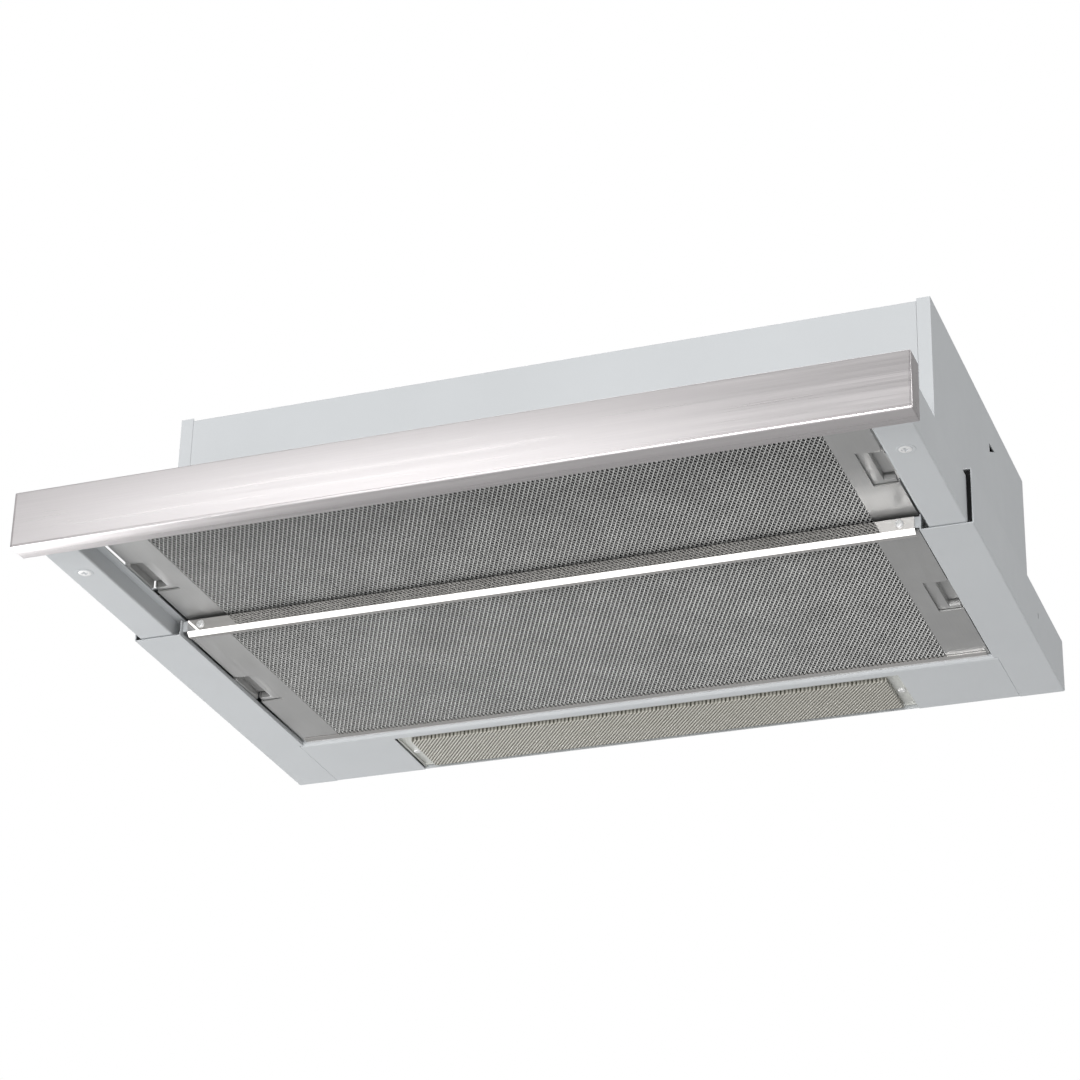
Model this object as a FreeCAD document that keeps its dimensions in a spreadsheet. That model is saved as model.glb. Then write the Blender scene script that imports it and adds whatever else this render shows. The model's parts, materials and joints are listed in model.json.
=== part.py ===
"""Slide-out range hood for a 600 mm wall cabinet.

A folded sheet-metal housing hangs under the cabinet. Its upper box stands inside the
cabinet and holds the blower, and its wider canopy sits below. A drawer with a grease
filter slides out of the canopy. The model stands as in use, with the drawer pulled out.

Frame: +X to the right, +Y to the rear, +Z up. The origin is the centre of the four
cabinet screw holes, on the ledge where the housing meets the cabinet's underside.
"""
import FreeCAD, Part

import math
import os
import re

import Sketcher

# Driving dimensions, in millimetres. Each becomes one named cell of the sheet.
SIZES = {
    # housing
    "canopy_width": 593.0,
    "canopy_height": 39.5,
    "body_depth": 276.5,
    "box_width": 548.0,
    "box_height": 131.5,
    "sheet": 0.8,
    "seam_gap": 0.2,
    "bend": 1.2,
    "flange_width": 35.1,
    "flange_lip": 3.0,
    "front_flange": 9.4,
    "panel_drop": 1.5,
    "front_return": 14.0,
    "seam_notch": 3.1,
    "cabinet_pitch": 200.0,
    "cabinet_hole": 2.6,
    "hole_gap": 0.1,
    "clip_y": 28.3,
    "clip_z": 99.9,
    "clip_length": 16.8,
    "clip_rise": 8.1,
    "clip_height": 6.4,
    "slit_y": 54.8,
    "slit_width": 2.0,
    "slit_height": 4.0,
    # lamp bay
    "lamp_bay_depth": 70.6,
    "lamp_bay_height": 31.0,
    "lamp_bend": 3.0,
    "lens_length": 382.0,
    "lens_depth": 61.0,
    "lens_margin": 0.5,
    "lens_recess": 3.2,
    "lens_wall": 1.5,
    "lens_end_tab": 9.8,
    "lens_front_rim": 7.5,
    "lens_rear_rim": 5.0,
    "lens_screw_inset": 4.9,
    "label_length": 58.0,
    "label_width": 10.0,
    "label_depth": 0.5,
    "tube_length": 288.0,
    "tube_radius": 8.0,
    "cap_length": 8.0,
    "holder_length": 13.0,
    "reflector_depth": 44.0,
    "reflector_height": 22.0,
    "foot_reach": 6.0,
    # rails that carry the rear filter
    "rail_top": 11.6,
    "rail_setback": 2.5,
    "rail_slope_start": 3.2,
    "rail_leg": 6.5,
    "rail_end_gap": 3.9,
    "rail_screw_inset": 9.8,
    "rail_screw_height": 7.8,
    # filters
    "filter_width": 519.0,
    "filter_thick": 8.8,
    "filter_skin": 1.0,
    "filter_edge": 4.0,
    "mesh_width": 460.0,
    "mesh_tuck": 2.0,
    "rear_filter_lift": 3.0,
    "front_filter_lift": 14.3,
    "front_filter_depth": 173.5,
    "filter_front_gap": 1.0,
    "filter_rear_gap": 1.7,
    "rail_filter_gap": 6.5,
    "latch_setback": 86.9,
    "latch_length": 46.0,
    "latch_inset": 17.0,
    "latch_lap": 7.7,
    "latch_plate": 0.9,
    "latch_reach": 4.7,
    "latch_play": 0.3,
    "latch_arm": 4.2,
    "latch_tuck": 3.0,
    "bolt_lift": 5.6,
    "bolt_thick": 1.4,
    "bolt_gap": 1.6,
    # drawer
    "travel": 150.0,
    "closed_gap": 1.0,
    "drawer_gap": 3.3,
    "drawer_lift": 1.3,
    "drawer_wall": 33.5,
    "drawer_length": 190.0,
    "channel_width": 25.1,
    "channel_ledge": 5.8,
    "fascia_width": 600.0,
    "fascia_height": 39.7,
    "fascia_depth": 18.7,
    "fascia_drop": 6.8,
    "fascia_skin": 1.0,
    "fascia_round": 1.0,
    "bracket_reach": 56.0,
    "bracket_width": 20.0,
    "drawer_screw_back": 45.2,
    "rear_bar_depth": 10.0,
    "rear_bar_height": 9.5,
    # telescopic slides
    "slide_height": 17.0,
    "slide_centre": 22.0,
    "slide_web": 1.0,
    "slide_lip": 3.5,
    "slide_play": 0.3,
    "slide_room": 9.6,
    "slide_inset": 3.0,
    "slide_length": 186.0,
    "slide_middle_length": 160.0,
    # blower
    "impeller_radius": 46.0,
    "impeller_width": 74.0,
    "impeller_disc": 2.0,
    "blade_depth": 8.0,
    "blade_thick": 1.0,
    "scroll_start": 52.0,
    "scroll_step": 7.0,
    "scroll_wall": 2.0,
    "scroll_width": 84.0,
    "scroll_floor": 5.0,
    "collar_reach": 62.5,
    "inlet_radius": 37.0,
    "shaft_radius": 4.0,
    "shaft_play": 0.05,
    "motor_radius": 38.0,
    "motor_mount_radius": 30.4,
    "motor_end_radius": 26.6,
    "motor_length": 50.0,
    "motor_body": 35.0,
    "motor_standoff": 4.0,
    "hub_length": 15.0,
    "hub_radius": 9.0,
    # duct outlet
    "spigot_radius": 59.5,
    "spigot_wall": 2.2,
    "spigot_height": 40.0,
    "spigot_flange": 74.0,
    "spigot_flange_thick": 2.5,
    "spigot_screw_circle": 134.0,
    "flap_seat": 9.8,
    "flap_thick": 1.2,
    "flap_play": 0.8,
    "pin_radius": 1.5,
    "contact_radius": 1.2,
    "pin_height": 13.7,
    "knuckle_radius": 3.0,
    "knuckle_length": 18.0,
    # controls and electrics
    "control_length": 96.0,
    "control_depth": 22.0,
    "control_height": 8.5,
    "control_centre": 178.0,
    "control_top": 32.0,
    "knob_width": 8.0,
    "knob_rise": 3.2,
    "fan_travel": 18.0,
    "lamp_travel": 6.0,
    "switch_width": 20.0,
    "switch_height": 10.0,
    "switch_centre": 205.0,
    "plunger_travel": 2.0,
    "plunger_clear": 0.5,
    "gland_radius": 8.0,
    "gland_flare": 1.4,
    "gland_bore": 4.0,
    "gland_length": 22.0,
    "terminal_width": 64.0,
    "terminal_depth": 58.0,
    "terminal_height": 30.0,
    "terminal_x": 200.0,
    "terminal_y": 80.0,
    "driver_length": 110.0,
    "driver_width": 38.0,
    "driver_height": 26.0,
    "driver_x": -195.0,
    "driver_y": 80.0,
    # screws
    "screw_head": 3.8,
    "screw_head_thick": 1.3,
    "screw_shank": 1.9,
    "screw_length": 8.0,
    "small_head": 2.7,
    "small_shank": 1.3,
    "small_length": 3.4,
}

# Places worked out from the driving dimensions, each by its own formula.
PLACES = {
    "y_front": "-body_depth / 2",
    "y_rear": "body_depth / 2",
    "z_under": "-canopy_height",
    "z_top": "box_height - panel_drop",
    "z_roof": "z_top - sheet",
    "x_canopy": "canopy_width / 2",
    "x_box": "box_width / 2",
    "x_flange": "x_canopy - flange_width",
    "x_ledge_hole": "(x_box + x_canopy) / 2",
    "x_front_panel": "x_box - front_flange - seam_gap",
    # lamp bay
    "y_bay": "y_rear - lamp_bay_depth",
    "x_bay": "x_flange + seam_notch - seam_gap",
    "y_bay_rear": "y_rear - sheet",
    "y_lens": "y_bay_rear - lens_depth",
    "x_lens": "lens_length / 2",
    "x_panel": "x_lens - lens_end_tab",
    "y_panel": "y_lens + lens_front_rim",
    "y_panel_rear": "y_bay_rear - lens_rear_rim",
    "z_lens": "z_under + lens_recess",
    "y_lamp": "(y_panel + y_panel_rear) / 2",
    "z_lamp": "z_lens + lens_wall + tube_radius + 4 * sheet",
    "x_caps": "tube_length / 2 + cap_length",
    "z_crown": "z_lens + lens_wall + reflector_height",
    "x_reflector": "x_caps + holder_length + 4 * sheet",
    # rails and rear filter
    "y_rail": "y_front + rail_setback",
    "z_rail": "z_under + rail_top",
    "x_rail": "x_flange - rail_end_gap",
    "y_rear_filter": "y_front + rail_filter_gap",
    "y_rear_filter_end": "y_bay - filter_rear_gap",
    "z_rear_filter": "z_under + rear_filter_lift",
    # drawer
    "x_drawer": "x_canopy - sheet - drawer_gap",
    "x_channel": "x_drawer - channel_width",
    "x_ledge": "x_channel - channel_ledge",
    "z_drawer": "z_under + drawer_lift",
    "z_drawer_top": "z_drawer + drawer_wall",
    "y_fascia_rear": "y_front - travel - closed_gap",
    "y_drawer_end": "y_fascia_rear + drawer_length",
    "z_fascia": "z_under - fascia_drop",
    "z_front_filter": "z_under + front_filter_lift",
    "z_channel_ledge": "z_front_filter - sheet",
    "y_front_filter": "y_fascia_rear + filter_front_gap",
    "y_front_filter_end": "y_front_filter + front_filter_depth",
    "y_bar": "y_front_filter_end + filter_front_gap",
    # slides
    "x_slide": "x_drawer - sheet - slide_room",
    "z_slide": "z_under + slide_centre",
    # blower, placed so that its outlet is centred under the duct
    "scroll_end": "scroll_start + 2 * scroll_step",
    "y_impeller": "-(scroll_step + scroll_end) / 2",
    "z_impeller": "scroll_floor + scroll_wall + scroll_start + scroll_step",
    "x_scroll": "scroll_width / 2",
    "x_motor": "x_scroll + scroll_wall + motor_standoff",
    # duct outlet
    "z_pin": "z_roof + pin_height",
    "spigot_bore": "spigot_radius - spigot_wall",
    "flap_radius": "spigot_bore - flap_play",
    # controls
    "z_control": "z_under + control_top",
    "y_switch": "y_bar + rear_bar_depth + travel + plunger_clear + plunger_travel",
}

WORD = re.compile(r"[a-z][a-z_]*")

doc = FreeCAD.newDocument("range_hood")
nodes = []


def make_sheet():
    """Write every driving dimension to its own named cell."""
    table = doc.addObject("Spreadsheet::Sheet", "dims")
    for row, (name, value) in enumerate(SIZES.items(), start=1):
        table.set(f"A{row}", name)
        table.set(f"B{row}", str(value))
        table.setAlias(f"B{row}", name)
    doc.recompute()
    return table


def expand(text):
    """Turn the names in a formula into references to the sheet's cells."""
    def reference(match):
        word = match.group()
        if word in PLACES:
            return f"({expand(PLACES[word])})"
        if word in SIZES:
            return f"dims.{word}"
        return word
    return WORD.sub(reference, text)


def size(text):
    """Value of a formula as a plain number."""
    return float(sheet.evalExpression(expand(text)))


def bind(item, **formulas):
    """Bind properties of an object to formulas; a double underscore stands for a dot."""
    for name, formula in formulas.items():
        item.setExpression(name.replace("__", "."), expand(formula))


def mirrored(span, side):
    """A span of X on the stated side: 1 is right, -1 is left."""
    low, high = span
    if side > 0:
        return span
    return f"-({high})", f"-({low})"


def box(x, y, z, side=1):
    """A block between two formulas on each axis."""
    item = doc.addObject("Part::Box", "block")
    x = mirrored(x, side)
    bind(item, Length=f"({x[1]}) - ({x[0]})", Placement__Base__x=x[0])
    bind(item, Width=f"({y[1]}) - ({y[0]})", Placement__Base__y=y[0])
    bind(item, Height=f"({z[1]}) - ({z[0]})", Placement__Base__z=z[0])
    return item


AXIS_TURN = {
    "x": FreeCAD.Rotation(FreeCAD.Vector(0, 1, 0), 90),
    "y": FreeCAD.Rotation(FreeCAD.Vector(1, 0, 0), -90),
    "z": FreeCAD.Rotation(),
}


def rod(axis, radius, start, end, first, second):
    """A cylinder along an axis from start to end; first and second place its centre line."""
    item = doc.addObject("Part::Cylinder", "rod")
    item.Placement.Rotation = AXIS_TURN[axis]
    others = [name for name in "xyz" if name != axis]
    bind(item, Radius=radius, Height=f"({end}) - ({start})")
    item.setExpression(f"Placement.Base.{axis}", expand(start))
    item.setExpression(f"Placement.Base.{others[0]}", expand(first))
    item.setExpression(f"Placement.Base.{others[1]}", expand(second))
    return item


def fuse(*items):
    """Join pieces into one."""
    if len(items) == 1:
        return items[0]
    joined = doc.addObject("Part::MultiFuse", "joined")
    joined.Shapes = list(items)
    joined.Refine = True
    return joined


def cut(base, *tools):
    """Take the tools away from the base."""
    result = doc.addObject("Part::Cut", "cut")
    result.Base = base
    result.Tool = fuse(*tools)
    result.Refine = True
    return result


def group(*items):
    """Separate solids that share one node."""
    result = doc.addObject("Part::Compound", "group")
    result.Links = list(items)
    return result


PLANES = {"x": "YZ_Plane", "y": "XZ_Plane", "z": "XY_Plane"}


def profile(axis, points, start, end, rounds=None):
    """A closed outline drawn across an axis and padded along it.

    points are pairs of formulas across the axis, and rounds gives the fillet radius of
    the edge that runs from a point, by the point's number.
    """
    body = doc.addObject("PartDesign::Body", "profile")
    plane = next(f for f in body.Origin.OriginFeatures if f.Role == PLANES[axis])
    sketch = body.newObject("Sketcher::SketchObject", "outline")
    sketch.AttachmentSupport = [(plane, "")]
    sketch.MapMode = "FlatFace"
    # The XZ plane looks along -Y, so there the outline lies at the span's far end.
    offset = f"-({end})" if axis == "y" else start
    sketch.setExpression("AttachmentOffset.Base.z", expand(offset))
    corners = [FreeCAD.Vector(size(u), size(v), 0) for u, v in points]
    count = len(corners)
    for index in range(count):
        sketch.addGeometry(Part.LineSegment(corners[index], corners[(index + 1) % count]), False)
    for index in range(count):
        sketch.addConstraint(Sketcher.Constraint("Coincident", index, 2, (index + 1) % count, 1))
    for index, (u, v) in enumerate(points):
        for kind, formula, value in (("DistanceX", u, corners[index].x), ("DistanceY", v, corners[index].y)):
            number = sketch.addConstraint(Sketcher.Constraint(kind, -1, 1, index, 1, value))
            sketch.setExpression(f"Constraints[{number}]", expand(formula))
    pad = body.newObject("PartDesign::Pad", "pad")
    pad.Profile = sketch
    bind(pad, Length=f"({end}) - ({start})")
    doc.recompute()
    for index, radius in (rounds or {}).items():
        round_edge(body, axis, corners[index], radius)
    return body


def round_edge(body, axis, corner, radius):
    """Fillet the padded edge that runs along the axis through a corner of the outline."""
    across = {"x": ("y", "z"), "y": ("x", "z"), "z": ("x", "y")}[axis]
    base = body.Tip
    for number, edge in enumerate(base.Shape.Edges, start=1):
        ends = [vertex.Point for vertex in edge.Vertexes]
        if all(math.isclose(getattr(end, across[0]), corner.x, abs_tol=1e-4)
               and math.isclose(getattr(end, across[1]), corner.y, abs_tol=1e-4) for end in ends):
            fillet = body.newObject("PartDesign::Fillet", "bend")
            fillet.Base = (base, [f"Edge{number}"])
            bind(fillet, Radius=radius)
            doc.recompute()
            return
    raise ValueError(f"no edge at {corner}")


def node(name, item):
    """Name a finished piece, which names its file."""
    item.Label = name
    nodes.append(item)
    return item


def side_name(side):
    """Word for a side."""
    return "right" if side > 0 else "left"


def flip(points, side):
    """An outline in X and Z, mirrored for the left side."""
    if side > 0:
        return points
    return [(f"-({u})", v) for u, v in points]


def make_side_panel(side):
    """Folded side: upper wall, ledge, canopy wall, bottom flange and its lip."""
    outline = flip([
        ("x_box", "box_height"),
        ("x_box", "0"),
        ("x_canopy", "0"),
        ("x_canopy", "z_under"),
        ("x_flange", "z_under"),
        ("x_flange", "z_under + flange_lip"),
        ("x_flange + sheet", "z_under + flange_lip"),
        ("x_flange + sheet", "z_under + sheet"),
        ("x_canopy - sheet", "z_under + sheet"),
        ("x_canopy - sheet", "-sheet"),
        ("x_box - sheet", "-sheet"),
        ("x_box - sheet", "box_height"),
    ], side)
    folded = profile("y", outline, "y_front", "y_rear", {2: "bend", 3: "bend", 4: "sheet / 2"})
    front = box(("x_box - front_flange", "x_box - sheet / 2"), ("y_front", "y_front + sheet"),
                ("0", "box_height"), side)
    riser = box(("x_flange", "x_flange + sheet"), ("y_front + sheet", "y_front + 6 * sheet"),
                ("z_under + sheet", "z_rail"), side)
    tab = box(("x_rail - 2 * rail_screw_inset", "x_flange + sheet / 2"),
              ("y_rail + sheet + hole_gap", "y_rail + 2 * sheet + hole_gap"),
              ("z_under + rail_slope_start + sheet", "z_rail"), side)
    notch = box(("x_flange - sheet", "x_flange + seam_notch"), ("y_bay", "y_rear + sheet"),
                ("z_under - sheet", "z_under + flange_lip + sheet"), side)
    x_hole = "x_ledge_hole" if side > 0 else "-x_ledge_hole"
    screws = [rod("z", "cabinet_hole", "-2 * sheet", "sheet", x_hole, f"{sign}cabinet_pitch / 2")
              for sign in ("", "-")]
    x_tab = "x_rail - rail_screw_inset" if side > 0 else "-(x_rail - rail_screw_inset)"
    rail_hole = rod("y", "small_shank + hole_gap", "y_rail", "y_rail + 4 * sheet", x_tab,
                    "z_under + rail_screw_height")
    triangle = [("clip_y", "clip_z"), ("clip_y + clip_length", "clip_z + clip_rise"),
                ("clip_y - sheet", "clip_z + clip_height")]
    clip = profile("x", triangle, *mirrored(("x_box - 2 * sheet", "x_box + sheet"), side))
    slot = box(("x_canopy - 2 * sheet", "x_canopy + sheet"), ("slit_y", "slit_y + slit_width"),
               ("z_under / 2", "z_under / 2 + slit_height"), side)
    panel = cut(fuse(folded, front, riser, tab), notch, *screws, rail_hole, clip, slot)
    node(f"side_panel_{side_name(side)}", panel)


def make_housing():
    """Folded panels of the housing."""
    for side in (1, -1):
        make_side_panel(side)
    make_front_panel()
    make_rear_panel()
    make_top_panel()


def make_front_panel():
    """Front of the upper box, with return flanges at its top and bottom."""
    outline = [
        ("y_front", "0"),
        ("y_front", "z_top"),
        ("y_front + front_return", "z_top"),
        ("y_front + front_return", "z_roof"),
        ("y_front + sheet", "z_roof"),
        ("y_front + sheet", "sheet"),
        ("y_front + front_return", "sheet"),
        ("y_front + front_return", "0"),
    ]
    node("front_panel", profile("x", outline, "-x_front_panel", "x_front_panel", {0: "bend", 1: "bend"}))


def make_rear_panel():
    """Flat rear wall, wider across the canopy than across the upper box."""
    upper = "x_box - sheet"
    lower = "x_canopy - sheet"
    half = [(upper, "z_top"), (upper, "-sheet"), (lower, "-sheet"), (lower, "z_under + sheet")]
    outline = half + [(f"-({u})", v) for u, v in reversed(half)]
    node("rear_panel", profile("y", outline, "y_rear - sheet", "y_rear"))


def make_top_panel():
    """Roof of the upper box, with the duct hole, its screw holes and the cable hole."""
    width = "x_box - sheet"
    plate = box((f"-({width})", width), ("y_front + sheet", "y_rear - sheet"),
                ("z_roof - sheet", "z_roof"))
    holes = [
        rod("z", "spigot_bore", "z_roof - 2 * sheet", "z_top", "0", "0"),
        rod("z", "gland_radius", "z_roof - 2 * sheet", "z_top", "terminal_x", "terminal_y"),
    ]
    for x_sign, y_sign in SPIGOT_CORNERS:
        holes.append(rod("z", "screw_shank", "z_roof - 2 * sheet", "z_top",
                         f"{x_sign}{SPIGOT_SCREW}", f"{y_sign}{SPIGOT_SCREW}"))
    node("top_panel", cut(plate, *holes))


# The spigot's four screws stand at 45 degrees, on a circle.
SPIGOT_SCREW = "spigot_screw_circle / 2 * sqrt(0.5)"
SPIGOT_CORNERS = [("", ""), ("-", ""), ("-", "-"), ("", "-")]


def make_lamp_bay():
    """Rear part of the underside, folded up in front, and cut out for the lamp cover."""
    outline = [
        ("y_bay", "z_under + lamp_bay_height"),
        ("y_bay", "z_under"),
        ("y_bay_rear", "z_under"),
        ("y_bay_rear", "z_under + sheet"),
        ("y_bay + sheet", "z_under + sheet"),
        ("y_bay + sheet", "z_under + lamp_bay_height"),
    ]
    folded = profile("x", outline, "-x_bay", "x_bay", {1: "lamp_bend", 4: "lamp_bend - sheet"})
    opening = box(("-x_lens - lens_margin", "x_lens + lens_margin"), ("y_lens - lens_margin", "y_rear"),
                  ("z_under - sheet", "z_under + 2 * sheet"))
    wings = [box(("x_bay - sheet", "x_canopy - sheet"), ("y_bay", "y_bay + sheet"),
                 ("z_under + sheet", "z_under + lamp_bay_height"), side) for side in (1, -1)]
    clear = [box(("x_bay", "x_canopy"), ("y_bay - sheet", "y_rear"), ("z_under - sheet", "z_under + sheet"),
                 side) for side in (1, -1)]
    node("lamp_bay_panel", cut(fuse(folded, *wings), opening, *clear))

    cover = fuse(
        box(("-x_lens", "x_lens"), ("y_lens", "y_bay_rear"), ("z_lens", "z_lens + lens_wall")),
        box(("-x_panel", "x_panel"), ("y_panel", "y_panel_rear"), ("z_under", "z_lens + lens_wall")),
    )
    hollow = box(("-x_panel + lens_wall", "x_panel - lens_wall"),
                 ("y_panel + lens_wall", "y_panel_rear - lens_wall"),
                 ("z_under + lens_wall", "z_lens + 2 * lens_wall"))
    label = fuse(
        box(("-label_length / 2 + label_width / 2", "label_length / 2 - label_width / 2"),
            ("y_lamp - label_width / 2", "y_lamp + label_width / 2"),
            ("z_under - sheet", "z_under + label_depth")),
        *[rod("z", "label_width / 2", "z_under - sheet", "z_under + label_depth",
              f"{sign}(label_length / 2 - label_width / 2)", "y_lamp") for sign in ("", "-")],
    )
    holes = [rod("z", "small_shank", "z_lens - sheet", "z_lens + 2 * lens_wall",
                 f"{sign}(x_lens - lens_screw_inset)", "y_lamp") for sign in ("", "-")]
    node("lamp_cover", cut(cover, hollow, label, *holes))

    screws = [fuse(
        rod("z", "small_head", "z_lens - screw_head_thick", "z_lens",
            f"{sign}(x_lens - lens_screw_inset)", "y_lamp"),
        rod("z", "small_shank", "z_lens", "z_lens + small_length",
            f"{sign}(x_lens - lens_screw_inset)", "y_lamp"),
    ) for sign in ("", "-")]
    node("lamp_cover_screws", group(*screws))


def make_lamp():
    """Fluorescent tube with its caps, the two lampholders and the reflector."""
    node("lamp_tube", cut(
        rod("x", "tube_radius", "-tube_length / 2", "tube_length / 2", "y_lamp", "z_lamp"),
        rod("x", "tube_radius - sheet", "-tube_length / 2 + sheet", "tube_length / 2 - sheet",
            "y_lamp", "z_lamp"),
    ))
    caps = []
    holders = []
    for side in (1, -1):
        cap = mirrored(("tube_length / 2", "x_caps"), side)
        contact = mirrored(("x_caps", "x_caps + cap_length - sheet"), side)
        pins = [rod("x", "contact_radius", *contact, f"y_lamp {sign} 2 * pin_radius", "z_lamp")
                for sign in ("+", "-")]
        caps.append(fuse(rod("x", "tube_radius", *cap, "y_lamp", "z_lamp"), *pins))
        block = box(("x_caps + seam_gap", "x_caps + seam_gap + holder_length"),
                    ("y_lamp - tube_radius", "y_lamp + tube_radius"),
                    ("z_lamp - tube_radius", "z_crown - sheet"), side)
        sockets = [rod("x", "pin_radius", *mirrored(("x_caps - sheet", "x_caps + cap_length"), side),
                       f"y_lamp {sign} 2 * pin_radius", "z_lamp") for sign in ("+", "-")]
        holders.append(cut(block, *sockets))
    node("lamp_caps", group(*caps))
    node("lampholders", group(*holders))

    z_edge = "z_lens + lens_wall + sheet"
    half = [
        ("reflector_depth / 2", z_edge),
        ("reflector_depth / 3", "z_crown"),
    ]
    inner = [
        ("reflector_depth / 3 - sheet", "z_crown - sheet"),
        ("reflector_depth / 2 - sheet", z_edge),
    ]
    outline = [(f"y_lamp + {u}", v) for u, v in half]
    outline += [(f"y_lamp - ({u})", v) for u, v in reversed(half)]
    outline += [(f"y_lamp - ({u})", v) for u, v in reversed(inner)]
    outline += [(f"y_lamp + {u}", v) for u, v in inner]
    pieces = [profile("x", outline, "-x_reflector", "x_reflector")]
    half_end = "(reflector_depth / 3 - sheet)"
    for side in (1, -1):
        pieces.append(box(("x_reflector - sheet", "x_reflector"),
                          (f"y_lamp - {half_end}", f"y_lamp + {half_end}"),
                          ("z_lens + lens_wall", "z_crown - sheet / 2"), side))
        pieces.append(box(("x_reflector - sheet", "x_lens + foot_reach"),
                          (f"y_lamp - {half_end}", f"y_lamp + {half_end}"),
                          ("z_lens + lens_wall", "z_lens + lens_wall + sheet"), side))
        pieces.append(box(("x_lens + foot_reach - sheet", "x_lens + foot_reach"),
                          (f"y_lamp - {half_end}", f"y_lamp + {half_end}"),
                          ("z_under + sheet", "z_lens + lens_wall + sheet"), side))
    screw_holes = [rod("z", "small_shank", "z_lens", "z_lens + 3 * lens_wall",
                       f"{sign}(x_lens - lens_screw_inset)", "y_lamp") for sign in ("", "-")]
    node("lamp_reflector", cut(fuse(*pieces), *screw_holes))


def make_rails():
    """Bright rails under the rear filter's front and rear edges, and their screws."""
    slope = "y_rail + rail_slope_start - seam_gap"
    z_leg = "z_under + seam_gap"
    z_slope = "z_under + rail_slope_start"
    outline = [
        ("y_rail", "z_rail"),
        ("y_rail", z_slope),
        (slope, z_leg),
        ("y_rail + rail_leg", z_leg),
        ("y_rail + rail_leg", f"{z_leg} + sheet"),
        (f"{slope} + sheet / 3", f"{z_leg} + sheet"),
        ("y_rail + sheet", f"{z_slope} + sheet / 3"),
        ("y_rail + sheet", "z_rail"),
    ]
    strip = profile("x", outline, "-x_rail", "x_rail")
    places = [f"{sign}(x_rail - rail_screw_inset)" for sign in ("", "-")]
    z_screw = "z_under + rail_screw_height"
    holes = [rod("y", "small_shank + hole_gap", "y_rail - sheet", "y_rail + 2 * sheet", x, z_screw)
             for x in places]
    node("filter_rail_front", cut(strip, *holes))
    node("filter_rail_screws", group(*[fuse(
        rod("y", "small_head", "y_rail - screw_head_thick", "y_rail", x, z_screw),
        rod("y", "small_shank", "y_rail", "y_rail + small_length", x, z_screw),
    ) for x in places]))

    z_rest = "z_rear_filter - seam_gap"
    rear = [
        ("y_bay", f"{z_rest} - sheet"),
        ("y_bay", "z_under + rail_top"),
        ("y_bay - sheet", "z_under + rail_top"),
        ("y_bay - sheet", z_rest),
        ("y_bay - rail_leg - sheet", z_rest),
        ("y_bay - rail_leg - sheet", f"{z_rest} - sheet"),
    ]
    node("filter_rail_rear", profile("x", rear, "-x_rail", "x_rail"))


def make_filter(name, y_start, y_end, y_latch, z_base):
    """Grease filter cassette: folded frame, mesh pack and two sliding end latches."""
    half = "filter_width / 2"
    mesh = "mesh_width / 2"
    z_end = f"{z_base} + filter_thick"
    shell = box((f"-{half}", half), (y_start, y_end), (z_base, z_end))
    window = box((f"-{mesh}", mesh), (f"{y_start} + filter_edge", f"{y_end} - filter_edge"),
                 (f"{z_base} - sheet", f"{z_end} + sheet"))
    pack = (f"-{mesh} - mesh_tuck", f"{mesh} + mesh_tuck")
    pack_y = (f"{y_start} + filter_edge - mesh_tuck", f"{y_end} - filter_edge + mesh_tuck")
    inside = (f"{z_base} + filter_skin", f"{z_end} - filter_skin")
    cavities = [window, box(pack, pack_y, inside)]
    latch = (f"{y_latch} - latch_length / 2", f"{y_latch} + latch_length / 2")
    finger = (f"{latch[0]} + latch_arm", f"{latch[1]} - latch_arm")
    for side in (1, -1):
        cavities.append(box((f"{mesh} + mesh_tuck + filter_skin", f"{half} - filter_skin"),
                            (f"{y_start} + filter_skin", f"{y_end} - filter_skin"), inside, side))
        cavities.append(box((f"{half} - latch_inset", f"{half} + filter_skin"), latch,
                            (f"{z_base} - sheet", f"{z_base} + 2 * filter_skin"), side))
        cavities.append(box((f"{half} - 2 * filter_skin", f"{half} + filter_skin"), finger,
                            (f"{z_base} - sheet", f"{z_base} + bolt_lift + bolt_thick + latch_play"), side))
    node(f"{name}_filter_frame", cut(shell, *cavities))
    node(f"{name}_filter_mesh", box(pack, pack_y, inside))
    for side in (1, -1):
        make_latch(name, side, latch, finger, z_base)


def make_filters():
    """The drawer's filter and the fixed one behind it, with equal latches."""
    make_filter("front", "y_front_filter", "y_front_filter_end", "y_front_filter + latch_setback",
                "z_front_filter")
    make_filter("rear", "y_rear_filter", "y_rear_filter_end", "(y_rear_filter + y_rear_filter_end) / 2",
                "z_rear_filter")


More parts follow.
